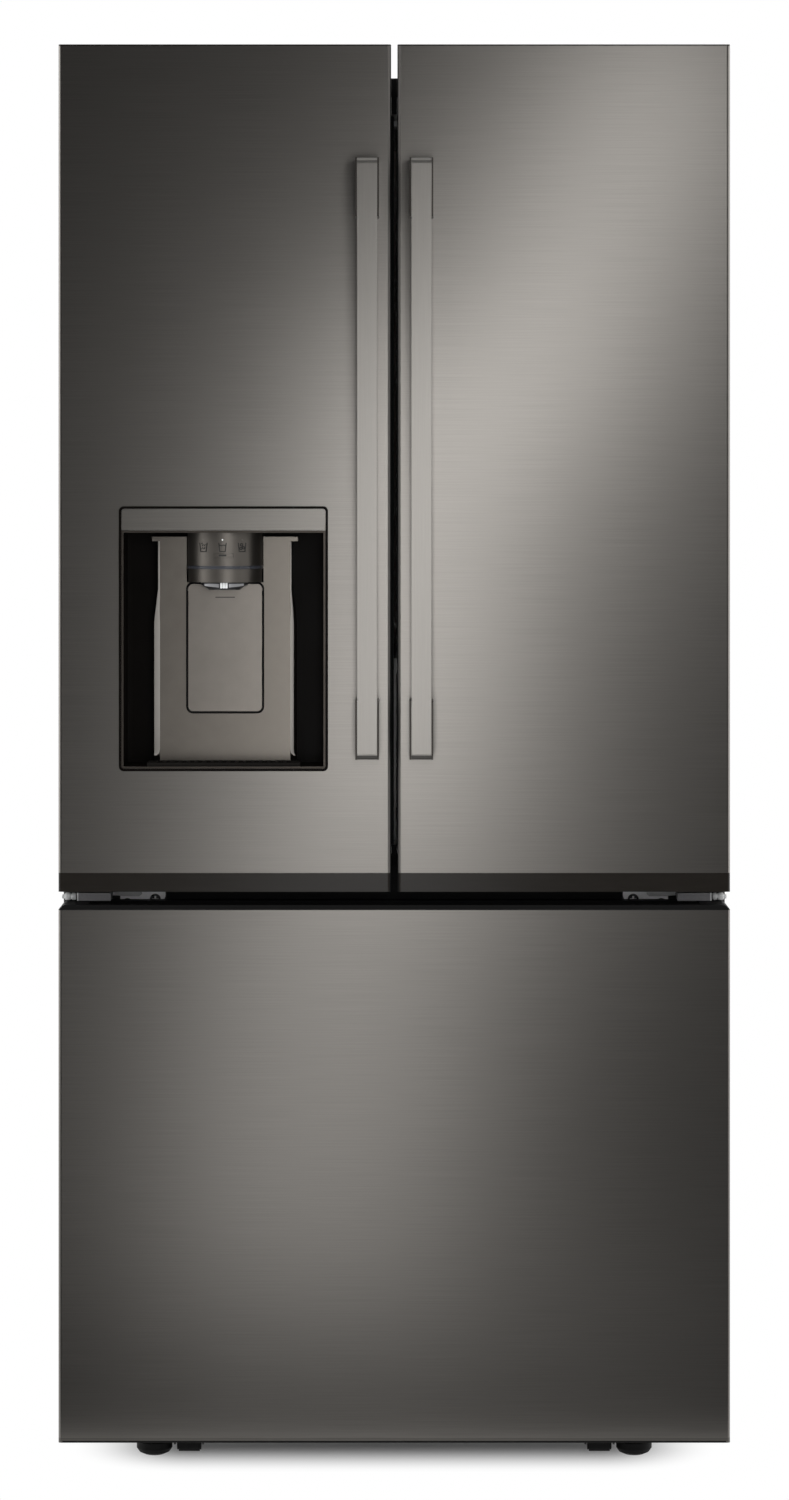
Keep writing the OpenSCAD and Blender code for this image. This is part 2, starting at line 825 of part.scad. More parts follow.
module evaporator_cover() {
    x = half_in - seat;
    color("#eceeee") {
        difference() {
            block([-x, evap_y, step_z + seat], [x, evap_y + 3, freezer_top - seat]);
            rod_y(0, evap_fan_z, fan_r + 4, evap_y - cut, evap_y + 3 + cut);
            for (i = [-3:3]) {
                vx = i * vent_pitch;
                block([vx - vent_w / 2, evap_y - cut, step_z + 20], [vx + vent_w / 2, evap_y + 4, step_z + 20 + vent_h]);
            }
        }
        // The motor on two struts across the fan's opening
        difference() {
            union() {
                rod_y(0, evap_fan_z, 16, evap_y, evap_y + motor_l);
                block([-fan_r - 6, evap_y, evap_fan_z - 4], [fan_r + 6, evap_y + 3, evap_fan_z + 4]);
                block([-4, evap_y, evap_fan_z - fan_r - 6], [4, evap_y + 3, evap_fan_z + fan_r + 6]);
            }
        }
        rod_y(0, evap_fan_z, fan_shaft_r, evap_y + 21, evap_y + motor_l + fan_hub_l + 4);
    }
}

// A fan about the Y axis at the origin, from y 0 back
module fan(blade_r, blades) {
    difference() {
        union() {
            rod_y(0, 0, 15, 0, fan_hub_l);
            for (i = [0:blades - 1]) rotate([0, i * 360 / blades, 0]) translate([12, fan_hub_l / 2, 0]) rotate([28, 0, 0])
                block([0, -1, -13], [blade_r - 12, 1, 13]);
        }
        rod_y(0, 0, fan_shaft_r + run_gap, -cut, fan_hub_l + cut);
    }
}

module evaporator_fan() {
    color("#2b2b2b") translate([0, evap_y + motor_l + 1, evap_fan_z]) fan(fan_r - 2, 5);
}

comp_x = -0.505 * half_w;
comp_y = y_rear - machine_d / 2;
comp_plate = [210, 150, 4];

module compressor() {
    color("#1d1d1e") translate([comp_x, comp_y, pan_top + seat]) {
        difference() {
            translate([-comp_plate[0] / 2, -comp_plate[1] / 2, 0]) cube(comp_plate);
            for (x = [-1, 1], y = [-1, 1]) translate([x * (comp_plate[0] / 2 - 15), y * (comp_plate[1] / 2 - 15), -cut])
                cylinder(r = 5, h = comp_plate[2] + 2 * cut);
        }
        translate([0, 0, 3]) rotate_extrude() polygon(concat(
            [[0, 0], [60, 0]],
            quarter([60, 22], 22, 270),
            quarter([52, 130], 30, 0),
            [[0, 160]]
        ));
        translate([72, -20, 40]) cube([30, 40, 50]);
    }
}

cond_x = 0.096 * half_w;
cond_w = 300;
cond_fan_r = 70;
drain_pan_back = 25;
drain_pan_h = 60;
drain_pan_gap = 7;
cond_fan_y = comp_y;
cond_fan_z = pan_top + 100;

module condenser() {
    x1 = cond_x + cond_w;
    y0 = y_rear - machine_d + 25;
    y1 = y_rear - 20;
    color("#3d3f40") {
        for (i = [0:19]) {
            fx = cond_x + 60 + i * (cond_w - 60) / 19;
            block([fx - 0.75, y0, pan_top + seat], [fx + 0.75, y1, pan_top + 175]);
        }
        for (i = [0:3], y = [y0 + 40, y1 - 40]) rod_x(y, pan_top + 30 + i * 40, 4, cond_x + 50, x1 + 6);
        // Fan shroud with its motor on a cross strut
        difference() {
            block([cond_x + 40, y0, pan_top + seat], [cond_x + 43, y1, pan_top + 190]);
            rod_x(cond_fan_y, cond_fan_z, 76, cond_x + 39, cond_x + 44);
        }
        block([cond_x + 40, cond_fan_y - 80, cond_fan_z - 5], [cond_x + 43, cond_fan_y + 80, cond_fan_z + 5]);
        rod_x(cond_fan_y, cond_fan_z, 20, cond_x + 12, cond_x + 43);
        rod_x(cond_fan_y, cond_fan_z, fan_shaft_r, cond_x - 10, cond_x + 13);
    }
}

module condenser_fan() {
    color("#c9c9c6") translate([cond_x + 10, cond_fan_y, cond_fan_z]) rotate([0, 0, 90]) fan(cond_fan_r, 5);
}

module drain_pan() {
    color("#2a2c2d") open_box(
        [comp_x + comp_plate[0] / 2 + drain_pan_gap, y_rear - machine_d + 12, pan_top + seat],
        [cond_x - cond_fan_r + 4, y_rear - drain_pan_back, pan_top + drain_pan_h], 2
    );
}

// ---------------------------------------------------------------- doors

// A door of the left side, without what goes in it: only x below 0
module door_skin() {
    z1 = door_top - cap_lip - seat;
    difference() {
        translate([0, 0, skin_bot]) linear_extrude(z1 - skin_bot) polygon(front_plan(-half_w, -door_in, 0));
        translate([0, 0, skin_bot - cut]) linear_extrude(z1 - skin_bot + 2 * cut)
            polygon([for (p = front_plan(-half_w, -door_in, skin_t)) [p[0], p[1] == y_back ? y_back + cut : p[1]]]);
        hinge_pocket(-half_w - cut, 0);
    }
}

// The hollow at a door's top corner that clears the top hinge's tongue
module hinge_pocket(x0, m) {
    block([x0, y_pin - pocket_l, cap_base - m], [-pin_x + tongue_r + 2, y_back + cut, pocket_top]);
}

module door_core() {
    inset = skin_t + seat;
    z0 = skin_bot + seat;
    rim_z0 = fresh_bot + 15;
    rim_z1 = fresh_top - 15;
    difference() {
        union() {
            translate([0, 0, z0]) linear_extrude(cap_base - seat - z0) polygon(front_plan(-half_w, -door_in, inset));
            ring(rim_out - half_w, -rim_mid, rim_z0, rim_z1, rim_w, y_back - cut, y_case + rim_d);
        }
        translate([-pin_x, y_pin, case_top - bush_l - 3]) cylinder(r = bush_r + run_gap, h = bush_l + 8);
    }
}

module door_caps() {
    inset = skin_t + seat;
    lip_z = door_top - cap_lip;
    // Top cap, hollow under its lip
    difference() {
        union() {
            translate([0, 0, cap_base]) linear_extrude(lip_z - cap_base + 0.5) polygon(front_plan(-half_w, -door_in, inset));
            translate([0, 0, lip_z]) linear_extrude(cap_lip) polygon(front_plan(-half_w, -door_in, 0));
        }
        hinge_pocket(-half_w - cut, cut);
        block([-pin_x + 19, y_front + 6, cap_base - cut], [-door_in - 6, y_back - 5, lip_z - 2]);
    }
    // Bottom cap
    difference() {
        translate([0, 0, door_bot]) linear_extrude(bottom_cap_h) polygon(front_plan(-half_w, -door_in, 0));
        translate([-pin_x, y_pin, door_bot - cut]) cylinder(r = pin_r + run_gap, h = bush_l - 1 + cut);
    }
    // Top bush
    translate([-pin_x, y_pin, case_top - bush_l - 2]) difference() {
        cylinder(r = bush_r, h = bush_l);
        translate([0, 0, -cut]) cylinder(r = pin_r + run_gap, h = bush_l + 2 * cut);
    }
}

module door_gasket() {
    ring(pin_in - half_w, -door_in - 1, beam_top - 18, case_top - 14, gasket_w, y_back + seat, y_case - slide_gap);
}

handle_end_r = 7;
post_back = 3;

// A bar with rounded ends that lies in the grooves of two end posts
module door_handle() {
    z1 = handle_z + handle_l;
    translate([-handle_x, 0, 0]) {
        translate([-bar_w / 2, 0, 0]) rotate([90, 0, 90]) linear_extrude(bar_w) polygon(concat(
            [[y_handle + bar_t, handle_z], [y_handle + bar_t, z1]],
            quarter([y_handle + handle_end_r, z1 - handle_end_r], handle_end_r, 90),
            quarter([y_handle + handle_end_r, handle_z + handle_end_r], handle_end_r, 180)
        ));
        for (z = [handle_z, z1 - post_h]) difference() {
            block([-post_w / 2, y_handle + post_back, z], [post_w / 2, y_front - seat, z + post_h]);
            block(
                [-bar_w / 2 - seat, y_handle, z - cut],
                [bar_w / 2 + seat, y_handle + bar_t + seat, z + post_h + cut]
            );
        }
    }
}

// Heights of the door bins, as shares of the way from the dispenser or the crispers to the ceiling
left_bin_shares = [0.09, 0.55];
right_bin_shares = [0.03, 0.36, 0.69];

// An open bin hooked between the raised rims of the left door
module door_bin(z0) {
    x0 = rim_out - half_w + rim_w + slide_gap;
    x1 = -rim_mid - rim_w - slide_gap;
    open_box([x0, y_back + slide_gap, z0], [x1, y_case + door_bin_d, z0 + door_bin_h], bin_t);
}

// The hole for the dispenser, larger by m all round, from its mouth to depth d
module disp_hole(m, z0, z1, d) {
    block([-disp_x - hole_w / 2 - m, y_front - cut, z0 - m], [-disp_x + hole_w / 2 + m, y_front + d, z1 + m]);
}

module left_door_skin() {
    color("#6a6764") difference() {
        door_skin();
        disp_hole(0, hole_bot, hole_top, skin_t + cut);
    }
}

header_t = 4;
header_out = 0.8;
hole_r = 4;
housing_back = y_front + disp_d + house_t;

module left_door_liner() {
    wall = 20;
    color("#f0f0ee") difference() {
        union() {
            door_core();
            block(
                [-disp_x - disp_w / 2 - wall, y_back - cut, disp_z - wall],
                [-disp_x + disp_w / 2 + wall - 2, y_case + rim_d, disp_top + wall]
            );
            for (z = mullion_lugs) mullion_lug(z);
        }
        disp_hole(0, hole_bot, header_bot, disp_d + house_t + seat);
        disp_hole(0, header_bot - cut, hole_top, header_t + seat);
    }
}

module left_door_caps() {
    color("#2b2725") door_caps();
}

module left_gasket() {
    color("#3b3b3c") door_gasket();
}

module left_handle() {
    color("#96928d") door_handle();
}

module left_bins() {
    color([0.88, 0.92, 0.93, 0.6]) for (share = left_bin_shares) door_bin(disp_top + share * (fresh_top - disp_top));
}

module right_door_skin() {
    color("#6a6764") mirror([1, 0, 0]) door_skin();
}

module right_door_liner() {
    color("#f0f0ee") mirror([1, 0, 0]) door_core();
}

module right_door_caps() {
    color("#2b2725") mirror([1, 0, 0]) door_caps();
}

module right_gasket() {
    color("#3b3b3c") mirror([1, 0, 0]) door_gasket();
}

module right_handle() {
    color("#96928d") mirror([1, 0, 0]) door_handle();
}

module right_bins() {
    color([0.88, 0.92, 0.93, 0.6]) for (share = right_bin_shares) {
        mirror([1, 0, 0]) door_bin(cover_z + share * (fresh_top - cover_z));
    }
}

// ---------------------------------------------------------------- mullion

mullion_z0 = fresh_bot + 2;
mullion_z1 = fresh_top - 2;
mullion_x0 = -34;
mullion_x1 = -0.5;
arm_h = 14;
// Heights of the lugs on the door, each between two arms of the mullion
mullion_lugs = [mullion_z0 + 90, (mullion_z0 + mullion_z1) / 2, mullion_z1 - 90];

module mullion_lug(z) {
    difference() {
        union() {
            block([-mullion_pivot_x - 6, y_back - cut, z], [-mullion_pivot_x + 6, y_case + mullion_pivot_y, z + arm_h]);
            translate([-mullion_pivot_x, y_case + mullion_pivot_y, z]) cylinder(r = 6, h = arm_h);
        }
        translate([-mullion_pivot_x, y_case + mullion_pivot_y, z - cut]) cylinder(r = mullion_pin_r + run_gap, h = arm_h + 2 * cut);
    }
}

module mullion() {
    color("#131313") {
        block([mullion_x0, y_case + slide_gap, mullion_z0], [mullion_x1, y_case + slide_gap + mullion_t, mullion_z1]);
        for (z = mullion_lugs) {
            for (a = [z - arm_h - slide_gap, z + arm_h + slide_gap]) mullion_arm(a);
            translate([-mullion_pivot_x, y_case + mullion_pivot_y, z - arm_h - slide_gap])
                cylinder(r = mullion_pin_r, h = 3 * arm_h + 2 * slide_gap);
        }
    }
}

module mullion_arm(z) {
    translate([-mullion_pivot_x, y_case + mullion_pivot_y, z]) cylinder(r = 5, h = arm_h);
    block(
        [-mullion_pivot_x, y_case + mullion_pivot_y - 5, z],
        [mullion_x0 + cut, y_case + mullion_pivot_y + 5, z + arm_h]
    );
}

// ---------------------------------------------------------------- dispenser

module upright_plate(w, z0, z1, r, y0, y1) {
    translate([-disp_x, y1, (z0 + z1) / 2]) rotate([90, 0, 0]) linear_extrude(y1 - y0)
        polygon(round_rect(w, z1 - z0, r));
}

module dispenser_bezel() {
    color("#1a1a1a") difference() {
        upright_plate(disp_w, disp_z, disp_top, hole_r + 2, y_front - bezel_out, y_front - seat / 2);
        upright_plate(hole_w, hole_bot, hole_top, hole_r, y_front - bezel_out - cut, y_front + cut);
    }
}

module dispenser_header() {
    w = hole_w - 2 * seat;
    color("#6b6863") intersection() {
        block([-disp_x - w / 2, y_front - header_out, header_bot + seat], [-disp_x + w / 2, y_front + header_t, hole_top]);
        upright_plate(w, hole_bot, hole_top - seat, hole_r, y_front - cut, y_front + header_t + cut);
    }
}

module dispenser_housing() {
    w = hole_w - 2 * seat;
    x0 = -disp_x - w / 2;
    z0 = hole_bot + seat;
    z1 = header_bot - seat;
    color("#121213") {
        difference() {
            block([x0, y_front, z0], [x0 + w, housing_back, z1]);
            block([x0 + house_t, y_front - cut, z0 + house_t], [x0 + w - house_t, y_front + disp_d, z1 - house_t]);
        }
        translate([-disp_x, 0, 0]) raised_panel(z0 + house_t - cut);
    }
}

// The bevelled block round the paddle and beside the nozzle, with its two ledges, about x 0
module raised_panel(z0) {
    y0 = panel_y;
    y1 = y_front + disp_d + cut;
    top_w = panel_w - 2 * panel_waist;
    difference() {
        union() {
            intersection() {
                translate([0, 0, z0]) linear_extrude(ledge_z - z0) polygon([
                    [-panel_w / 2, y1], [-panel_w / 2, y0 + panel_bevel], [panel_bevel - panel_w / 2, y0],
                    [panel_w / 2 - panel_bevel, y0], [panel_w / 2, y0 + panel_bevel], [panel_w / 2, y1]
                ]);
                translate([0, y1 + cut, 0]) rotate([90, 0, 0]) linear_extrude(y1 - y0 + 2 * cut) polygon([
                    [-panel_w / 2, z0 - cut], [panel_w / 2, z0 - cut],
                    [panel_w / 2, flare_z], [top_w / 2, flare_z + 40], [top_w / 2, ledge_z + cut],
                    [-top_w / 2, ledge_z + cut], [-top_w / 2, flare_z + 40], [-panel_w / 2, flare_z]
                ]);
            }
            block([-ledge_w / 2, y0 - ledge_out, ledge_z - cut], [ledge_w / 2, y1, ledge_z + ledge_t]);
        }
        // The paddle's pocket, the nozzle's notch and the pivot's holes
        translate([0, y_front + disp_d - pocket_wall, paddle_top - paddle_h / 2]) rotate([90, 0, 0])
            linear_extrude(disp_d) polygon(round_rect(paddle_w + 2 * paddle_gap, paddle_h + 2 * paddle_gap, paddle_r + paddle_gap));
        block([-nozzle_r - 1, y_front, nozzle_bot - 1], [nozzle_r + 1, y_front + disp_d - pocket_wall, ledge_z + ledge_t + cut]);
        hole_x = paddle_w / 2 + paddle_pin_l + 1;
        rod_x(paddle_y, paddle_pin_z, paddle_pin_r + run_gap, -hole_x, hole_x);
    }
}

module nozzle_housing() {
    z1 = header_bot - house_t - 2 * seat;
    y1 = y_front + disp_d - pocket_wall - seat;
    color("#0f0f10") difference() {
        union() {
            translate([-disp_x, nozzle_y, nozzle_bot]) cylinder(r = nozzle_r - 1, h = ring_h + cut, $fn = 64);
            translate([-disp_x, nozzle_y, nozzle_bot + ring_h]) cylinder(r = nozzle_r, h = z1 - nozzle_bot - ring_h, $fn = 64);
            block([-disp_x - nozzle_r + 6, nozzle_y, nozzle_bot + 6], [-disp_x + nozzle_r - 6, y1, z1]);
        }
        block([-disp_x - nozzle_r - cut, y1, nozzle_bot - cut], [-disp_x + nozzle_r + cut, y1 + nozzle_r, z1 + cut]);
        translate([-disp_x, nozzle_y - 8, nozzle_bot - cut]) cylinder(r = 28, h = 14);
        button_pocket();
    }
}

button_y = nozzle_y - nozzle_r - 0.5;
button_l = 10;

module button_pocket() {
    block(
        [-disp_x - button_w / 2 - slide_gap, button_y - cut, button_z - slide_gap],
        [-disp_x + button_w / 2 + slide_gap, button_y + button_l + button_travel + slide_gap, button_z + button_h + slide_gap]
    );
}

module selector_button() {
    color("#2a2a2c") intersection() {
        block([-disp_x - button_w / 2, button_y, button_z], [-disp_x + button_w / 2, button_y + button_l, button_z + button_h]);
        translate([-disp_x, nozzle_y, button_z - cut]) cylinder(r = nozzle_r + 0.4, h = button_h + 2 * cut, $fn = 64);
    }
}

module paddle() {
    z0 = paddle_top - paddle_h;
    color("#191a1b") {
        upright_plate(paddle_w, z0, paddle_top, paddle_r, paddle_y - paddle_t / 2, paddle_y + paddle_t / 2);
        for (side = [-1, 1]) {
            x = -disp_x + side * (paddle_w / 2 + paddle_pin_l / 2 - cut / 2);
            rod_x(paddle_y, paddle_pin_z, paddle_pin_r, x - paddle_pin_l / 2 - cut / 2, x + paddle_pin_l / 2 + cut / 2);
        }
    }
}

tray_plate_h = 4;

module drip_tray() {
    w = 190;
    z0 = hole_bot + house_t + 2 * seat;
    y0 = y_front + 3;
    y1 = panel_y - slide_gap;
    color("#1d1d1f") difference() {
        block([-disp_x - w / 2, y0, z0], [-disp_x + w / 2, y1, z0 + tray_plate_h]);
        for (i = [-8:8]) {
            x = -disp_x + i * 10;
            block([x - 3, y0 + 6, z0 + 1.5], [x + 3, y1 - 6, z0 + tray_plate_h + cut]);
        }
    }
}

// ---------------------------------------------------------------- freezer drawer

drawer_skin_top = drawer_top - drawer_cap_h;

module drawer_skin() {
    z0 = drawer_bot + drawer_cap_h;
    h = drawer_skin_top - z0;
    color("#6a6764") difference() {
        translate([0, 0, z0]) linear_extrude(h) polygon(front_plan(-half_w, half_w, 0));
        translate([0, 0, z0 - cut]) linear_extrude(h + 2 * cut)
            polygon([for (p = front_plan(-half_w, half_w, skin_t)) [p[0], p[1] == y_back ? y_back + cut : p[1]]]);
    }
}

// The grip hollow, larger by m all round but above
module grip_hollow(m) {
    block(
        [-grip_w / 2 - m, y_front + grip_y - m, drawer_top - grip_d - m],
        [grip_w / 2 + m, y_front + grip_y + grip_l + m, drawer_top + cut]
    );
}

module drawer_liner() {
    z0 = drawer_bot + drawer_cap_h + seat;
    z1 = drawer_skin_top - seat;
    color("#f0f0ee") difference() {
        union() {
            translate([0, 0, z0]) linear_extrude(z1 - z0) polygon(front_plan(-half_w, half_w, skin_t + seat));
            ring(-drawer_rim_x, drawer_rim_x, freezer_bot + 15, freezer_top - 15, rim_w, y_back - cut, y_case + rim_d);
        }
        grip_hollow(grip_wall + seat);
    }
}

grip_wall = 2;

module drawer_caps() {
    chamfer = 6;
    color("#262322") {
        // Top cap: a plate with bevelled ends and the grip's hollow hanging from it
        difference() {
            union() {
                intersection() {
                    translate([0, 0, drawer_skin_top]) linear_extrude(drawer_cap_h) polygon(front_plan(-half_w, half_w, 0));
                    translate([0, y_back + cut, 0]) rotate([90, 0, 0]) linear_extrude(door_t + 2 * cut) polygon([
                        [-half_w, drawer_skin_top - cut], [half_w, drawer_skin_top - cut],
                        [half_w, drawer_top - chamfer + 0.5], [half_w - chamfer, drawer_top],
                        [chamfer - half_w, drawer_top], [-half_w, drawer_top - chamfer + 0.5]
                    ]);
                }
                intersection() {
                    grip_hollow(grip_wall);
                    block([-half_w, y_front, drawer_bot], [half_w, y_back, drawer_top]);
                }
            }
            grip_hollow(0);
        }
        // Bottom cap
        translate([0, 0, drawer_bot]) linear_extrude(drawer_cap_h) polygon(front_plan(-half_w, half_w, 0));
    }
}

module drawer_gasket() {
    color("#3b3b3c") ring(
        pin_in - half_w, half_w - pin_in, freezer_bot - 26, freezer_top + 22, gasket_w,
        y_back + seat, y_case - slide_gap
    );
}

// A channel open towards the middle, from y0 to y1
module rail_channel(x0, x1, half_h, y0, y1) {
    difference() {
        block([x0, y0, rail_z - half_h], [x1, y1, rail_z + half_h]);
        block([x0 - cut, y0 - cut, rail_z - half_h + rail_t], [x1 - rail_t, y1 + cut, rail_z + half_h - rail_t]);
    }
}

rail_y0 = y_case + rim_d;

module outer_rails() {
    color("#b4b7b9") both_sides()
        rail_channel(rail_in, rail_out, rail_h / 2, rail_y0, rail_y0 + rail_l);
}

mid_rail_out = rail_out - rail_t - slide_gap;

module middle_rails() {
    color("#a4a7a9") both_sides()
        rail_channel(rail_in - 3, mid_rail_out, mid_half_h, rail_y0, rail_y0 + rail_l);
}

module inner_rails() {
    color("#b4b7b9") both_sides() {
        block(
            [rail_in - 9, y_back + seat, rail_z - inner_half_h],
            [mid_rail_out - rail_t - slide_gap, rail_y0 + rail_l, rail_z + inner_half_h]
        );
    }
}

module drawer_basket() {
    ledge_z = rail_z + inner_half_h + seat;
    color("#e4e8ea") {
        open_box(
            [-basket_w / 2, basket_y, basket_bot],
            [basket_w / 2, basket_y + basket_d, basket_top], bin_t
        );
        both_sides() block(
            [basket_w / 2 - cut, basket_y, ledge_z],
            [rail_in - 3 - slide_gap, basket_y + basket_d, ledge_z + 3]
        );
    }
}

module freezer_tray() {
    w = basket_w / 2 - 10;
    color("#e4e8ea") {
        open_box([-w, tray_y, tray_z], [w, tray_y + tray_d, tray_z + tray_h], bin_t);
        both_sides() block([w - cut, tray_y, tray_z], [basket_w / 2, tray_y + tray_d, tray_z + bin_t]);
    }
}

// ---------------------------------------------------------------- feet and rollers

module foot(side) {
    translate([side * foot_x, y_case + foot_y, 0]) rotate_extrude() polygon([
        [0, 0], [foot_r - 10, 0], [foot_r - 3.5, 3], [foot_r, 8],
        [foot_r, foot_h - 4], [foot_r - 2.5, foot_h], [stem_r, foot_h],
        [stem_r, foot_full_h], [0, foot_full_h]
    ]);
}

module left_foot() {
    color("#141414") foot(-1);
}

module right_foot() {
    color("#141414") foot(1);
}

module roller(x, y, z) {
    difference() {
        union() {
            rod_x(y, z, roller_r, x - roller_w / 2 + 2, x + roller_w / 2 - 2);
            rod_x(y, z, roller_r - 2, x - roller_w / 2, x + roller_w / 2);
        }
        rod_x(y, z, axle_r + run_gap, x - roller_w, x + roller_w);
    }
}

module front_rollers() {
    color("#1a1a1a") both_sides() roller(front_roller_x, y_case + foot_y, front_axle_z);
}

module rear_rollers() {
    color("#1a1a1a") both_sides() roller(rear_roller_x, rear_roller_y, roller_r);
}

case_shell();
rear_panels();
base_frame();
insulation();
fresh_liner();
freezer_liner();
centre_beam();
glass_shelves();
shelf_frames();
shelf_ladders();
crisper_cover();
evaporator();
evaporator_cover();
evaporator_fan();
compressor();
condenser();
condenser_fan();
drain_pan();
hinge_brackets();
hinge_covers();
hinge_screws();
outer_rails();
middle_rails();
inner_rails();
cord_gland();
ice_room();
ice_bucket();
ice_auger();
left_door_skin();
left_door_liner();
left_door_caps();
left_gasket();
left_handle();
left_bins();
dispenser_bezel();
dispenser_header();
dispenser_housing();
nozzle_housing();
drip_tray();
paddle();
selector_button();
mullion();
right_door_skin();
right_door_liner();
right_door_caps();
right_gasket();
right_handle();
right_bins();
drawer_skin();
drawer_liner();
drawer_caps();
drawer_gasket();
drawer_basket();
freezer_tray();
left_crisper();
right_crisper();
left_foot();
right_foot();
front_rollers();
rear_rollers();
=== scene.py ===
"""Looks of the french door refrigerator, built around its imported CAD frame.

Metres, +Z up, the doors face -Y. Positions come from the frame's own boxes."""
import math

import bmesh
import bpy
from mathutils import Matrix, Vector


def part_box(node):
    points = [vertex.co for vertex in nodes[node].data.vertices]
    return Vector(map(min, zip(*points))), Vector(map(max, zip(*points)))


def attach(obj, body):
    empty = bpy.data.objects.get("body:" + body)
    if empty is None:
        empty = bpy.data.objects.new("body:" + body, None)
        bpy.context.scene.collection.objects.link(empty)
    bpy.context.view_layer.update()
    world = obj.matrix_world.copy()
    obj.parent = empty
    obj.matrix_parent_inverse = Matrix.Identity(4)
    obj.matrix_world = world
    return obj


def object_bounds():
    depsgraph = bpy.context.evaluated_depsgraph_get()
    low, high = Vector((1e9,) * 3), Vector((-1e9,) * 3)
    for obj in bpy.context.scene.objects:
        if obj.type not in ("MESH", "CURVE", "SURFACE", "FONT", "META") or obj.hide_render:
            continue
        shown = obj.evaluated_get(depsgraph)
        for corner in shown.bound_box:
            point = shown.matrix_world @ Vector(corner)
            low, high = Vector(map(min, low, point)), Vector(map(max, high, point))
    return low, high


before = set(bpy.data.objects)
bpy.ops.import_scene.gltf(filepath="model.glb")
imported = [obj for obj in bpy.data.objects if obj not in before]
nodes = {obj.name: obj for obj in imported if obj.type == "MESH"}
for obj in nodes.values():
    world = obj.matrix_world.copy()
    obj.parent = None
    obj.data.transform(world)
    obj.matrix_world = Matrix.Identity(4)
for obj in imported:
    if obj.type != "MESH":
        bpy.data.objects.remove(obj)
cad_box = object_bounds()
scene = bpy.context.scene
MM = 0.001

# ---------------------------------------------------------------- camera

CAM_X = 0.0003
CAM_DIST = 5.5          # ahead of the doors
CAM_HEIGHT = 1.243
CAM_LENS = 106.6
CAM_SENSOR = 36
CAM_SHIFT = -0.1867     # the camera looks level and its picture is shifted down
CAM_REACH = 60
DOOR_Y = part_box("left_door_skin")[0].y      # the doors' front

cam_data = bpy.data.cameras.new("camera")
cam_data.lens = CAM_LENS
cam_data.sensor_width = CAM_SENSOR
cam_data.shift_y = CAM_SHIFT
cam_data.clip_end = CAM_REACH
camera = bpy.data.objects.new("camera", cam_data)
scene.collection.objects.link(camera)
camera.location = (CAM_X, DOOR_Y - CAM_DIST, CAM_HEIGHT)
camera.rotation_euler = (math.radians(90), 0, 0)
scene.camera = camera
scene.view_settings.view_transform = "Standard"

# ---------------------------------------------------------------- materials


def link(tree, a, b):
    tree.links.new(a, b)


def noise(tree, coords, scale, detail, stretch=(1, 1, 1)):
    """A noise texture over coords, stretched per axis. Returns its value socket."""
    mapping = tree.nodes.new("ShaderNodeMapping")
    mapping.inputs["Scale"].default_value = stretch
    link(tree, coords, mapping.inputs["Vector"])
    tex = tree.nodes.new("ShaderNodeTexNoise")
    tex.inputs["Scale"].default_value = scale
    tex.inputs["Detail"].default_value = detail
    link(tree, mapping.outputs["Vector"], tex.inputs["Vector"])
    return tex.outputs["Fac"]


def spread(tree, value, lo, hi, from_lo=0.3, from_hi=0.7, smooth=False):
    """Map value from the range from_lo to from_hi onto the range lo to hi."""
    node = tree.nodes.new("ShaderNodeMapRange")
    if smooth:
        node.interpolation_type = "SMOOTHSTEP"
    node.inputs["From Min"].default_value = from_lo
    node.inputs["From Max"].default_value = from_hi
    node.inputs["To Min"].default_value = lo
    node.inputs["To Max"].default_value = hi
    link(tree, value, node.inputs["Value"])
    return node.outputs["Result"]


EVEN = (1, 1, 1)
SIDE_GRAIN = (0.5, 60, 60)      # streaks along X
UP_GRAIN = (60, 60, 1)          # streaks along Z
DEEP_GRAIN = (60, 1, 60)        # streaks along Y
CLOUD_SCALE = 3.1
FINE_DETAIL, CLOUD_DETAIL = 3.0, 2.0
FINE_SHARE = 0.75               # of the fine grain in the tint, the rest is cloud
COAT_ROUGH = 0.05
EDGE_SAMPLES = 4


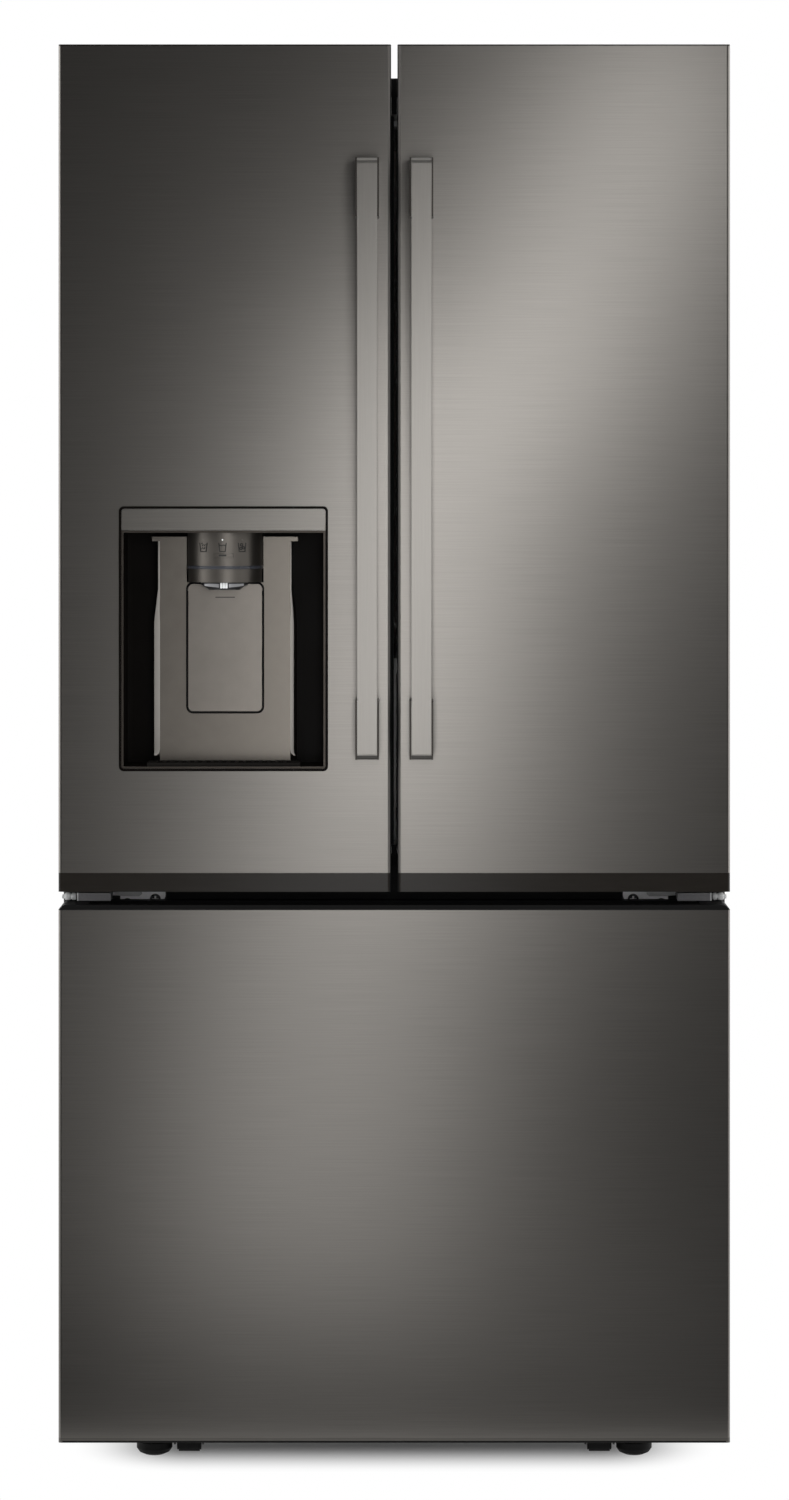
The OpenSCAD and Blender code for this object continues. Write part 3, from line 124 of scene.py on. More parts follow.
def material(
    name, colour, rough, metal=0.0, vary=0.06, rough_vary=0.06,
    grain=(40, EVEN), bump=0.0, bump_dist=0.0002, coat=0.0, clear=0.0,
    ior=1.5, specular=0.5, edge=0.0,
):
    """A procedural finish: its colour, roughness and height all follow one grain."""
    mat = bpy.data.materials.new(name)
    mat.use_nodes = True
    tree = mat.node_tree
    bsdf = tree.nodes["Principled BSDF"]
    coords = tree.nodes.new("ShaderNodeTexCoord").outputs["Object"]
    fine = noise(tree, coords, grain[0], FINE_DETAIL, grain[1])
    cloud = noise(tree, coords, CLOUD_SCALE, CLOUD_DETAIL)
    tint = tree.nodes.new("ShaderNodeMix")
    tint.data_type = "RGBA"
    tint.inputs["A"].default_value = (*[c * (1 - vary) for c in colour], 1)
    tint.inputs["B"].default_value = (*[min(1, c * (1 + vary)) for c in colour], 1)
    both = tree.nodes.new("ShaderNodeMath")
    both.operation = "MULTIPLY_ADD"
    both.inputs[1].default_value = FINE_SHARE
    link(tree, fine, both.inputs[0])
    rest = tree.nodes.new("ShaderNodeMath")
    rest.operation = "MULTIPLY"
    rest.inputs[1].default_value = 1 - FINE_SHARE
    link(tree, cloud, rest.inputs[0])
    link(tree, rest.outputs[0], both.inputs[2])
    link(tree, spread(tree, both.outputs[0], 0, 1), tint.inputs["Factor"])
    link(tree, tint.outputs["Result"], bsdf.inputs["Base Color"])
    link(
        tree,
        spread(tree, fine, rough * (1 - rough_vary), min(1, rough * (1 + rough_vary))),
        bsdf.inputs["Roughness"],
    )
    bsdf.inputs["Metallic"].default_value = metal
    bsdf.inputs["IOR"].default_value = ior
    bsdf.inputs["Specular IOR Level"].default_value = specular
    bsdf.inputs["Coat Weight"].default_value = coat
    bsdf.inputs["Coat Roughness"].default_value = COAT_ROUGH
    bsdf.inputs["Transmission Weight"].default_value = clear
    normal = None
    if edge:
        node = tree.nodes.new("ShaderNodeBevel")
        node.samples = EDGE_SAMPLES
        node.inputs["Radius"].default_value = edge
        normal = node.outputs["Normal"]
    if bump:
        node = tree.nodes.new("ShaderNodeBump")
        node.inputs["Strength"].default_value = bump
        node.inputs["Distance"].default_value = bump_dist
        link(tree, fine, node.inputs["Height"])
        if normal:
            link(tree, normal, node.inputs["Normal"])
        normal = node.outputs["Normal"]
    if normal:
        link(tree, normal, bsdf.inputs["Normal"])
    return mat


# Each row: name, colour, roughness, metal, colour and roughness variation, grain, bump
black_steel = material(
    "black_stainless", (0.205, 0.194, 0.180), 0.29, 1.0, 0.08, 0.032, (17, SIDE_GRAIN), 0.06, 0.0001
)
header_steel = material(
    "header_steel", (0.215, 0.204, 0.188), 0.32, 1.0, 0.08, 0.032, (17, SIDE_GRAIN), 0.06, 0.0001
)
handle_steel = material(
    "handle_steel", (0.245, 0.233, 0.217), 0.33, 1.0, 0.04, 0.025, (14, UP_GRAIN), 0.06, 0.0001,
    edge=0.0007,
)
# Painted shade: a darker copy of the handle steel for the handles' top and bottom ends, in place of the
# highlight the lamp above gives them
painted_shade_on_handle_tips = material(
    "painted_shade_on_handle_tips", (0.08, 0.076, 0.07), 0.45, 0.6, 0.05, 0.06, (14, UP_GRAIN), 0.05
)
# Painted shade: a darker, rougher copy of the door steel for the doors' rounded edges into the gap between
# them
gap_edge_painted_shade = material(
    "gap_edge_painted_shade", (0.12, 0.113, 0.105), 0.6, 0.5, 0.05, 0.06, (11, UP_GRAIN), 0.05, 0.0001
)
# Near black: the paddle's seam and the mullion's guides, and painted shade in the gaps between the doors and
# over and under the drawer
black_parts_and_painted_shade = material(
    "black_parts_and_painted_shade", (0.005, 0.005, 0.005), 0.6, 0.0, 0.1, 0.1, (60, EVEN), specular=0.1
)
low_steel = material(
    "low_steel", (0.135, 0.128, 0.118), 0.36, 1.0, 0.08, 0.03, (17, SIDE_GRAIN), 0.05, 0.0001
)
# Near black for the mullion, and for the centre beam as painted shade: darker than the beam's own black
# paint, as dark as the gap over the drawer
black_and_gap_shade = material(
    "black_and_gap_shade", (0.007, 0.007, 0.0072), 0.5, 0.0, 0.15, 0.1, (300, EVEN), 0.2, 0.0001,
    specular=0.08,
)
# Painted reflection: a dark copy of the handle steel for the handles' sides and what lies behind their front
# part, standing in for the dark gap the sides reflect
painted_shade_on_handle_flanks = material(
    "handle_flank_painted_shade", (0.06, 0.055, 0.05), 0.42, 1.0, 0.08, 0.1, (14, UP_GRAIN), 0.08
)
panel_bronze = material(
    "panel_bronze", (0.186, 0.169, 0.149), 0.31, 1.0, 0.04, 0.05, (60, EVEN), 0.05, 0.0001
)
bronze = material(
    "dispenser_bronze", (0.235, 0.215, 0.193), 0.31, 1.0, 0.04, 0.06, (60, EVEN), 0.05, 0.0001
)
black_gloss = material(
    "black_gloss", (0.0045, 0.0035, 0.0028), 0.34, 0.0, 0.2, 0.15, (25, EVEN), 0.02, 0.0001,
    specular=0.04,
)
cap_plastic = material(
    "cap_plastic", (0.014, 0.012, 0.010), 0.22, 0.0, 0.08, 0.08, (30, (1, 6, 6)), 0.0,
    specular=0.2,
)
black_satin = material(
    "black_satin", (0.018, 0.017, 0.017), 0.45, 0.0, 0.2, 0.12, (400, EVEN), 0.2, 0.0001
)
case_paint = material(
    "case_paint", (0.062, 0.060, 0.058), 0.46, 0.0, 0.08, 0.1, (900, EVEN), 0.35, 0.00015
)
base_paint = material(
    "base_paint", (0.045, 0.045, 0.045), 0.5, 0.0, 0.12, 0.12, (500, EVEN), 0.3, 0.0001
)
zinc = material(
    "zinc_plate", (0.42, 0.43, 0.43), 0.48, 0.85, 0.16, 0.16, (55, EVEN), 0.08, 0.0001
)
foam = material("foam", (0.75, 0.66, 0.42), 0.9, 0.0, 0.12, 0.05, (260, EVEN), 0.8, 0.0006)
liner_white = material(
    "liner_white", (0.80, 0.80, 0.785), 0.24, 0.0, 0.02, 0.15, (35, EVEN), 0.03, 0.0002, coat=0.15
)
white_satin = material(
    "white_satin", (0.72, 0.725, 0.72), 0.42, 0.0, 0.03, 0.12, (420, EVEN), 0.12, 0.0001
)
clear_bin = material(
    "clear_bin", (0.86, 0.93, 0.95), 0.06, 0.0, 0.02, 0.3, (18, EVEN), 0.02, 0.0002,
    clear=0.92, ior=1.46,
)
frost_bin = material(
    "frosted_bin", (0.78, 0.83, 0.85), 0.35, 0.0, 0.03, 0.1, (300, EVEN), 0.1, 0.0001,
    clear=0.45, ior=1.46,
)
glass = material(
    "shelf_glass", (0.84, 0.93, 0.91), 0.03, 0.0, 0.02, 0.3, (12, EVEN), 0.0, clear=0.97, ior=1.5
)
rail_steel = material(
    "rail_steel", (0.58, 0.59, 0.60), 0.3, 1.0, 0.06, 0.15, (12, DEEP_GRAIN), 0.1, 0.0001
)
bracket_steel = material(
    "bracket_steel", (0.62, 0.61, 0.62), 0.42, 0.75, 0.08, 0.15, (70, EVEN), 0.1, 0.0001
)
screw_steel = material(
    "screw_steel", (0.32, 0.32, 0.325), 0.25, 1.0, 0.1, 0.2, (180, EVEN), 0.1, 0.0001
)
fin_aluminium = material(
    "fin_aluminium", (0.72, 0.73, 0.74), 0.35, 1.0, 0.08, 0.12, (80, (1, 1, 8)), 0.1, 0.0001
)
compressor_paint = material(
    "compressor_paint", (0.016, 0.016, 0.017), 0.3, 0.0, 0.2, 0.2, (120, EVEN), 0.25, 0.0002,
    coat=0.3,
)
wire_paint = material(
    "wire_paint", (0.035, 0.035, 0.035), 0.4, 0.0, 0.15, 0.1, (300, EVEN), 0.15
)
rubber = material(
    "gasket_rubber", (0.055, 0.055, 0.057), 0.6, 0.0, 0.12, 0.1, (350, EVEN), 0.3, 0.0001
)
foot_rubber = material(
    "foot_plastic", (0.004, 0.004, 0.004), 0.6, 0.0, 0.2, 0.1, (300, EVEN), 0.2, 0.0001,
    specular=0.15,
)
grey_plastic = material(
    "grey_plastic", (0.24, 0.235, 0.245), 0.5, 0.0, 0.08, 0.1, (300, EVEN), 0.2, 0.0001
)
fan_plastic = material(
    "fan_plastic", (0.045, 0.045, 0.045), 0.5, 0.0, 0.12, 0.1, (250, EVEN), 0.15, 0.0001
)
pale_plastic = material(
    "pale_plastic", (0.62, 0.62, 0.60), 0.5, 0.0, 0.05, 0.1, (250, EVEN), 0.15, 0.0001
)
# Painted highlight: a pale finish for the strips down the dispenser panel's bevels, in place of the light
# they catch
painted_bevel_highlight = material(
    "painted_bevel_highlight", (0.66, 0.625, 0.575), 0.36, 0.1, 0.04, 0.06, (60, EVEN), 0.03, 0.0001
)
# Painted light: the middle hinges' bracket faces, paler and less metallic than their steel, making up for
# the shade of the gap they sit in
hinge_face_painted_lighter = material(
    "hinge_face_painted_lighter", (0.86, 0.85, 0.865), 0.45, 0.15, 0.06, 0.1, (90, EVEN), 0.08, 0.0001
)
barrel_bronze = material(
    "barrel_bronze", (0.20, 0.184, 0.165), 0.46, 1.0, 0.04, 0.06, (60, EVEN), 0.04, 0.0001
)
rim_bronze = material(
    "rim_bronze", (0.07, 0.062, 0.054), 0.4, 1.0, 0.05, 0.08, (60, EVEN), 0.04, 0.0001
)
tray_black = material(
    "tray_black", (0.010, 0.009, 0.008), 0.75, 0.0, 0.15, 0.1, (200, EVEN), 0.1, 0.0001,
    specular=0.05,
)
skirt_grey = material(
    "skirt_grey", (0.33, 0.33, 0.34), 0.35, 0.4, 0.08, 0.1, (60, EVEN), 0.05, 0.0001
)
rim_plastic = material(
    "rim_plastic", (0.045, 0.048, 0.058), 0.28, 0.0, 0.1, 0.1, (60, EVEN), 0.05, 0.0001
)
dish_plastic = material(
    "dish_plastic", (0.02, 0.02, 0.021), 0.4, 0.0, 0.1, 0.1, (60, EVEN), 0.05, 0.0001
)
tip_white = material(
    "tip_white", (0.85, 0.86, 0.86), 0.3, 0.0, 0.03, 0.1, (90, EVEN), 0.05, 0.0001, coat=0.2
)
clear_knob = material(
    "clear_knob", (0.86, 0.87, 0.87), 0.25, 0.0, 0.08, 0.2, (120, EVEN), 0.15, 0.0002,
    clear=0.15, ior=1.46,
)
mark_dark = material("mark_dark", (0.02, 0.019, 0.018), 0.5, 0.0, 0.1, 0.1, (90, EVEN))
lamp_off = material("lamp_off", (0.20, 0.19, 0.175), 0.3, 0.0, 0.05, 0.1, (90, EVEN))
lamp_on = material("lamp_on", (0.9, 0.9, 0.9), 0.3, 0.0, 0.02, 0.1, (90, EVEN))
lamp_glow = lamp_on.node_tree.nodes["Principled BSDF"].inputs
lamp_glow["Emission Color"].default_value = (1, 1, 1, 1)
lamp_glow["Emission Strength"].default_value = 0.6
lamp_white = material(
    "lamp_white", (0.86, 0.87, 0.87), 0.35, 0.0, 0.02, 0.1, (60, EVEN), 0.03, 0.0001
)
screw_dark = material(
    "screw_dark", (0.02, 0.02, 0.021), 0.3, 0.6, 0.15, 0.2, (180, EVEN), 0.1, 0.0001
)
lever_grey = material(
    "lever_grey", (0.46, 0.455, 0.46), 0.45, 0.1, 0.12, 0.15, (120, EVEN), 0.15, 0.0001
)

FINISH = {
    black_steel: "left_door_skin right_door_skin drawer_skin",
    header_steel: "dispenser_header",
    handle_steel: "left_handle right_handle",
    black_gloss: "dispenser_housing dispenser_bezel",
    tray_black: "drip_tray",
    bronze: "paddle",
    barrel_bronze: "nozzle_housing selector_button",
    cap_plastic: "left_door_caps right_door_caps drawer_caps",
    # the centre beam's near-black is painted shade, darker than its black paint
    black_and_gap_shade: "mullion centre_beam",
    black_satin: "hinge_covers",
    case_paint: "case_shell",
    base_paint: "base_frame",
    zinc: "rear_panels",
    foam: "insulation",
    liner_white: "fresh_liner freezer_liner left_door_liner right_door_liner drawer_liner",
    white_satin: "shelf_frames shelf_ladders crisper_cover evaporator_cover ice_room",
    clear_bin: "left_bins right_bins left_crisper right_crisper ice_bucket",
    frost_bin: "drawer_basket freezer_tray",
    glass: "glass_shelves",
    rail_steel: "outer_rails middle_rails inner_rails ice_auger",
    bracket_steel: "hinge_brackets",
    screw_steel: "hinge_screws",
    fin_aluminium: "evaporator",
    compressor_paint: "compressor",
    wire_paint: "condenser",
    rubber: "left_gasket right_gasket drawer_gasket cord_gland",
    foot_rubber: "left_foot right_foot front_rollers rear_rollers drain_pan",
    fan_plastic: "evaporator_fan",
    pale_plastic: "condenser_fan",
}
for mat, names in FINISH.items():
    for name in names.split():
        slots = nodes[name].data.materials
        slots.clear()
        slots.append(mat)
        for poly in nodes[name].data.polygons:
            poly.material_index = 0

# ---------------------------------------------------------------- making pieces

SMOOTH_ANGLE = math.radians(40)


def piece(name, bm, mat, body):
    """Turn bm into an object that rides on body and takes the finish mat."""
    bmesh.ops.recalc_face_normals(bm, faces=bm.faces)
    mesh = bpy.data.meshes.new(name)
    bm.to_mesh(mesh)
    bm.free()
    mesh.materials.append(mat)
    obj = bpy.data.objects.new(name, mesh)
    scene.collection.objects.link(obj)
    for poly in mesh.polygons:
        poly.use_smooth = True
    mesh.set_sharp_from_angle(angle=SMOOTH_ANGLE)
    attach(obj, body)


def soften(bm, edges, width, segments=3):
    """Round the given edges."""
    bmesh.ops.bevel(
        bm, geom=list(edges), offset=width, segments=segments, profile=0.5,
        affect="EDGES", clamp_overlap=True,
    )


def block(bm, lo, hi, soft=0.0, segments=3):
    """A box between two corners, with rounded edges."""
    lo, hi = Vector(lo), Vector(hi)
    made = bmesh.ops.create_cube(bm, size=1.0)["verts"]
    for v in made:
        v.co = Vector(((lo[i] + hi[i]) / 2 + v.co[i] * (hi[i] - lo[i]) for i in range(3)))
    if soft:
        soften(bm, {e for v in made for e in v.link_edges}, soft, segments)
    return bm


def prism(bm, points, lo, hi, axis=1, soft=0.0):
    """An outline of (a, b) points pushed from lo to hi along an axis, its rims rounded."""
    def at(p, h):
        rest = [p[0], p[1]]
        rest.insert(axis, h)
        return Vector(rest)

    low = [bm.verts.new(at(p, lo)) for p in points]
    top = [bm.verts.new(at(p, hi)) for p in points]
    faces = [bm.faces.new(low), bm.faces.new(top)]
    for i in range(len(points)):
        j = (i + 1) % len(points)
        bm.faces.new((low[i], low[j], top[j], top[i]))
    if soft:
        soften(bm, {e for f in faces for e in f.edges}, soft, 2)
    return bm


def round_rect(x0, z0, x1, z1, r, steps=6):
    """The (x, z) points of a rectangle with corners of radius r."""
    out = []
    for cx, cz, start in (
        (x1 - r, z1 - r, 0), (x0 + r, z1 - r, 90), (x0 + r, z0 + r, 180), (x1 - r, z0 + r, 270)
    ):
        for i in range(steps + 1):
            a = math.radians(start + 90 * i / steps)
            out.append((cx + r * math.cos(a), cz + r * math.sin(a)))
    return out


def loop(x0, z0, x1, z1, y, r):
    """A rounded rectangle's points, all at one y."""
    return [(x, y, z) for x, z in round_rect(x0, z0, x1, z1, r)]


def turned(bm, profile, place, axis="Z", squash=(1, 1), steps=40):
    """A profile of (radius, height) points turned about an axis through place."""
    rows = []
    for r, h in profile:
        row = []
        for i in range(steps):
            a = math.tau * i / steps
            u, v = r * math.cos(a) * squash[0], r * math.sin(a) * squash[1]
            co = {"Z": (u, v, h), "X": (h, u, v), "Y": (u, h, v)}[axis]
            row.append(bm.verts.new(Vector(place) + Vector(co)))
        rows.append(row)
    for a, b in zip(rows, rows[1:]):
        for i in range(steps):
            j = (i + 1) % steps
            bm.faces.new((a[i], a[j], b[j], b[i]))
    for row in (rows[0], rows[-1]):
        bm.faces.new(row)
    return bm


def tube(bm, points, r, closed=False, steps=10):
    """A round tube through the points."""
    pts = [Vector(p) for p in points]
    n = len(pts)
    rows = []
    up = None
    for i, p in enumerate(pts):
        before = pts[i - 1] if i or closed else p
        after = pts[(i + 1) % n] if i < n - 1 or closed else p
        along = (after - before).normalized()
        if up is None:
            up = Vector((0, 0, 1)) if abs(along.z) < 0.9 else Vector((1, 0, 0))
        side = along.cross(up).normalized()
        up = side.cross(along).normalized()
        wide = 1.0
        if closed or 0 < i < n - 1:
            turn = (p - before).normalized().dot((after - p).normalized())
            wide = min(1.5, 1 / max(0.3, math.cos(math.acos(max(-1, min(1, turn))) / 2)))
        rows.append([
            bm.verts.new(p + (side * math.cos(t) * wide + up * math.sin(t)) * r)
            for t in (math.tau * k / steps for k in range(steps))
        ])
    pairs = list(zip(rows, rows[1:])) + ([(rows[-1], rows[0])] if closed else [])
    for a, b in pairs:
        for k in range(steps):
            m = (k + 1) % steps
            bm.faces.new((a[k], a[m], b[m], b[k]))
    if not closed:
        bm.faces.new(rows[0])
        bm.faces.new(rows[-1])
    return bm


def sweep(bm, stations):
    """Skin a run of equal-length rings of points, closed at both ends."""
    rows = [[bm.verts.new(Vector(p)) for p in ring] for ring in stations]
    for a, b in zip(rows, rows[1:]):
        for i in range(len(a)):
            j = (i + 1) % len(a)
            bm.faces.new((a[i], a[j], b[j], b[i]))
    bm.faces.new(rows[0])
    bm.faces.new(rows[-1])
    return bm


def shells(node):
    """The boxes of a node's separate solids, lowest first."""
    bm = bmesh.new()
    bm.from_mesh(nodes[node].data)
    bmesh.ops.remove_doubles(bm, verts=bm.verts, dist=1e-6)
    left, out = set(bm.verts), []
    while left:
        group = [left.pop()]
        for v in group:
            for e in v.link_edges:
                other = e.other_vert(v)
                if other in left:
                    left.discard(other)
                    group.append(other)
        out.append(tuple(
            Vector((end(v.co[i] for v in group) for i in range(3))) for end in (min, max)
        ))
    bm.free()
    return sorted(out, key=lambda b: (round(b[0].z, 3), round(b[0].x, 3)))


def finish_faces(node, mat, wanted):
    """Give the faces of a CAD node whose centre and normal are wanted another material."""
    mesh = nodes[node].data
    mesh.materials.append(mat)
    index = len(mesh.materials) - 1
    for poly in mesh.polygons:
        if wanted(poly.center, poly.normal):
            poly.material_index = index

# ---------------------------------------------------------------- dispenser

pad_lo, pad_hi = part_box("paddle")
noz_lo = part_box("nozzle_housing")[0]
btn_lo, btn_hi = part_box("selector_button")
bez_lo, bez_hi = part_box("dispenser_bezel")
DISP_X = (bez_lo.x + bez_hi.x) / 2
NOZ_R = 47 * MM
NOZ_Y = noz_lo.y + NOZ_R
DISH_Y = DOOR_Y + 32 * MM
PANEL_Y = DOOR_Y + 54.5 * MM
PANEL_HALF = 0.092
PAD_HALF, PAD_R = 46 * MM, 6 * MM      # the paddle without its pins
LEDGE = (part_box("dispenser_housing")[1].z - 13 * MM) / MM      # height in mm
FLARE = (bez_lo.z + 184 * MM) / MM                             # height in mm


def on_panel(c, n):
    """Whether a face looks forward from the raised panel behind the paddle."""
    deep = PANEL_Y - 0.004 < c.y < PANEL_Y + 0.009
    return n.y < -0.5 and deep and abs(c.x - DISP_X) < PANEL_HALF


finish_faces("dispenser_housing", panel_bronze, on_panel)
finish_faces("dispenser_housing", rim_bronze, lambda c, n: n.y < -0.9 and c.y < DOOR_Y + 0.001)
finish_faces("nozzle_housing", black_gloss, lambda c, n: n.z < -0.5 or c.y > NOZ_Y + 0.001)

# Painted highlights: pale strips down the bevels at both sides of the raised panel, standing in for the
# light the bevels catch, the right one narrower; by height and reach in mm
HIGHLIGHT_HALF = 89
HIGHLIGHT_STEPS = 6
HIGHLIGHT_RUN = (
    (886, 3.0), (889, 6.6), (894, 7.5), (FLARE - 2, 7.5), (FLARE + 12, 5.6), (FLARE + 40, 2.5),
    (LEDGE - 1, 2.3),
)
for side, name, share in ((-1, "left", 1.0), (1, "right", 0.55)):
    rings = []
    for z, reach in HIGHLIGHT_RUN:
        inner = HIGHLIGHT_HALF - max(0, min(5, (z - FLARE) / 8)) - reach
        ring = []
        for k in range(HIGHLIGHT_STEPS + 1):
            u = k / HIGHLIGHT_STEPS * share * reach
            out = 0.35 * math.sin(math.pi * k / HIGHLIGHT_STEPS)
            x = DISP_X + side * (inner + u + 0.5 * out) * MM
            ring.append((x, PANEL_Y + (u - 0.25 - 0.5 * out) * MM, z * MM))
        ring.append((DISP_X + side * inner * MM, PANEL_Y + (share * reach + 0.3) * MM, z * MM))
        rings.append(ring)
    piece(f"panel_bevel_highlight_{name}", sweep(bmesh.new(), rings), painted_bevel_highlight, "left_door")

# Flat-faced ring between the nozzle's two parts, the dish under it and the nozzle's tip
rim = [(NOZ_R - 0.003, -1.9 * MM), (NOZ_R + 0.0004, -1.9 * MM), (NOZ_R + 0.0009, -1.2 * MM),
       (NOZ_R + 0.0009, 1.0 * MM), (NOZ_R + 0.0003, 1.8 * MM), (NOZ_R - 0.003, 1.9 * MM)]
piece(
    "nozzle_rim", turned(bmesh.new(), rim, (DISP_X, NOZ_Y, noz_lo.z + 18.6 * MM), steps=72),
    rim_plastic, "left_door",
)
dish = [(0.002, 1.5 * MM), (29.5 * MM, 1.5 * MM), (29.5 * MM, -1.2 * MM), (27.5 * MM, -2.6 * MM),
        (21 * MM, -6.2 * MM), (20 * MM, -7.6 * MM), (0.002, -8.0 * MM)]
piece(
    "outlet_dish",
    turned(bmesh.new(), dish, (DISP_X, DISH_Y, noz_lo.z - 1.7 * MM), squash=(1, 0.68), steps=56),
    dish_plastic, "left_door",
)
bm = bmesh.new()
for side in (-1, 1):
    rings = []
    for k in range(9):
        a = math.radians(side * (12 + 5.2 * k))
        low = -6.3 + 0.25 * k
        ring = []
        for out, z in ((0, -1.6), (0.9, -1.6), (0.9, low), (0, low)):
            x = DISP_X + (29.6 + out) * math.sin(a) * MM
            ring.append((x, DISH_Y - (20.2 + out) * math.cos(a) * MM, noz_lo.z + z * MM))
        rings.append(ring)
    sweep(bm, rings)
piece("outlet_skirt", bm, skirt_grey, "left_door")
bm = bmesh.new()
TIP_HALF = 1.45
for x in (-3.2, 0, 3.2):
    finger = round_rect(
        DISP_X + (x - TIP_HALF) * MM, noz_lo.z - 7.4 * MM,
        DISP_X + (x + TIP_HALF) * MM, noz_lo.z - 0.4 * MM, 0.0008, 3,
    )
    prism(bm, finger, DISH_Y - 20.6 * MM, DISH_Y - 15 * MM, 1, 0.0003)
piece("nozzle_tip", bm, tip_white, "left_door")


def on_barrel(u, z, lift=0.15):
    """A point on the round front of the nozzle housing, u to the right of its middle."""
    a = math.asin(u * MM / NOZ_R)
    r = NOZ_R + lift * MM
    return (DISP_X + r * math.sin(a), NOZ_Y - r * math.cos(a), z * MM)


def square(x0, z0, x1, z1):
    return [(x0, z0), (x1, z0), (x1, z1), (x0, z1), (x0, z0)]


# Generic cup pictures: crushed ice, water and cubes, with a small lamp over each, in mm
CUP = [(-4.6, 11), (-3.4, 0), (3.4, 0), (4.6, 11)]
CRUSHED = [
    [(-2.6, 3), (-1, 5)], [(0.4, 3), (2, 5)], [(-1.6, 7), (0, 9)], [(1, 7), (2.6, 9)],
    [(-2.6, 9.4), (-1.2, 10.6)],
]
WATER = [[(-3.6, 8.2), (-1.2, 7.4), (1.2, 8.2), (3.6, 7.4)]]
CUBES = [square(-2.6, 2.6, -0.2, 5.2), square(0.6, 3.4, 2.8, 6), square(-1.8, 7, 0.8, 9.8)]
CHOICES = (
    (-25.5, "left", lamp_off, CRUSHED),
    (-1.5, "middle", lamp_on, WATER),
    (22.5, "right", lamp_off, CUBES),
)
LAMP = [(0.0001, -0.5 * MM), (0.55 * MM, -0.35 * MM), (0.95 * MM, 0.1 * MM), (0.95 * MM, 0.6 * MM)]
icon_z = noz_lo.z / MM + 44.3
bm = bmesh.new()
for u, _, _, inside in CHOICES:
    for line in (CUP, *inside):
        fine_line = []
        for (a, b), (c, d) in zip(line, line[1:]):
            fine_line += [(a + (c - a) * t / 4, b + (d - b) * t / 4) for t in range(4)]
        fine_line.append(line[-1])
        tube(bm, [on_barrel(u + a, icon_z - 6 + b) for a, b in fine_line], 0.6 * MM, steps=6)
piece("cup_pictures", bm, mark_dark, "left_door")
for u, name, mat, _ in CHOICES:
    piece(
        f"lamp_{name}", turned(bmesh.new(), LAMP, on_barrel(u, icon_z + 8.7, 0.0), "Y", steps=16),
        mat, "left_door",
    )
mark = round_rect(
    DISP_X - 6.2 * MM, btn_lo.z + 1.6 * MM, DISP_X + 3.4 * MM, btn_hi.z - 1.3 * MM, 0.0008, 3
)
piece(
    "button_mark", prism(bmesh.new(), mark, btn_lo.y - 0.15 * MM, btn_lo.y + 0.8 * MM),
    mark_dark, "selector_button",
)

# Dark seam on the panel round the paddle
SEAM = 1.9 * MM
SEAM_FLAT = 0.45        # its depth over its width, which keeps it clear of the paddle's pins
seam_line = loop(
    DISP_X - PAD_HALF - SEAM, pad_lo.z - SEAM, DISP_X + PAD_HALF + SEAM, pad_hi.z + SEAM,
    PANEL_Y, PAD_R + SEAM,
)
bm = tube(bmesh.new(), seam_line, 1.0 * MM, True, 8)
for v in bm.verts:
    v.co.y = PANEL_Y + SEAM_FLAT * (v.co.y - PANEL_Y)
piece("paddle_seam", bm, black_parts_and_painted_shade, "left_door")

# Thin dark groove across the paddle's top
groove_z = pad_hi.z - 16.5 * MM
groove = round_rect(
    DISP_X - 12.3 * MM, groove_z - 0.6 * MM, DISP_X + 12.3 * MM, groove_z + 0.6 * MM, 0.55 * MM, 3
)
piece(
    "paddle_groove", prism(bmesh.new(), groove, pad_lo.y - 0.12 * MM, pad_lo.y + 0.5 * MM),
    mark_dark, "paddle",
)

# ---------------------------------------------------------------- handles

HANDLE_FRONT = 0.0155       # depth of the handle's front part
HANDLE_FACE = 0.0125        # half the width of its bright face
for side in ("left", "right"):
    handle = f"{side}_handle"
    lo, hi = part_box(handle)
    mid = (lo.x + hi.x) / 2
    behind = lo.y + HANDLE_FRONT
    # Painted reflection: the sides, and all behind the front part, as dark as the gap they face
    finish_faces(handle, painted_shade_on_handle_flanks, lambda c, n: c.y > behind or abs(c.x - mid) > HANDLE_FACE)
    # Painted shade on the top and bottom ends, against the highlight from above
    finish_faces(handle, painted_shade_on_handle_tips, lambda c, n: c.y < behind and abs(n.z) > 0.35)

# ---------------------------------------------------------------- door and drawer edges

GAP_SIDE = 0.013        # faces nearer the middle than this line the gap between the doors
ROUND_Y = -0.34         # the doors' rounded front edges lie ahead of this
# Painted shade in the gap between the doors: the skins' rounded edges take a darker, rougher steel so they
# show no light strip, and the skins' and caps' sides facing the gap are near-black
for side, sign in (("left", 1), ("right", -1)):
    skin = f"{side}_door_skin"
    finish_faces(
        skin, gap_edge_painted_shade,
        lambda c, n: abs(c.x) < GAP_SIDE and c.y < ROUND_Y and 0.12 < n.x * sign <= 0.7,
    )
    finish_faces(skin, black_parts_and_painted_shade, lambda c, n: abs(c.x) < GAP_SIDE and n.x * sign > 0.7)
    finish_faces(
        f"{side}_door_caps", black_parts_and_painted_shade, lambda c, n: abs(c.x) < GAP_SIDE and n.x * sign > 0.5
    )

# The drawer's bottom cap is steel in front; its top cap is painted near-black, darker than its own black
# plastic, as shade in the gap under the doors
finish_faces("drawer_caps", low_steel, lambda c, n: c.z < 0.05 and n.y < -0.5)
finish_faces("drawer_caps", black_parts_and_painted_shade, lambda c, n: c.z > 0.6 and (n.z > 0.5 or n.y < -0.5))
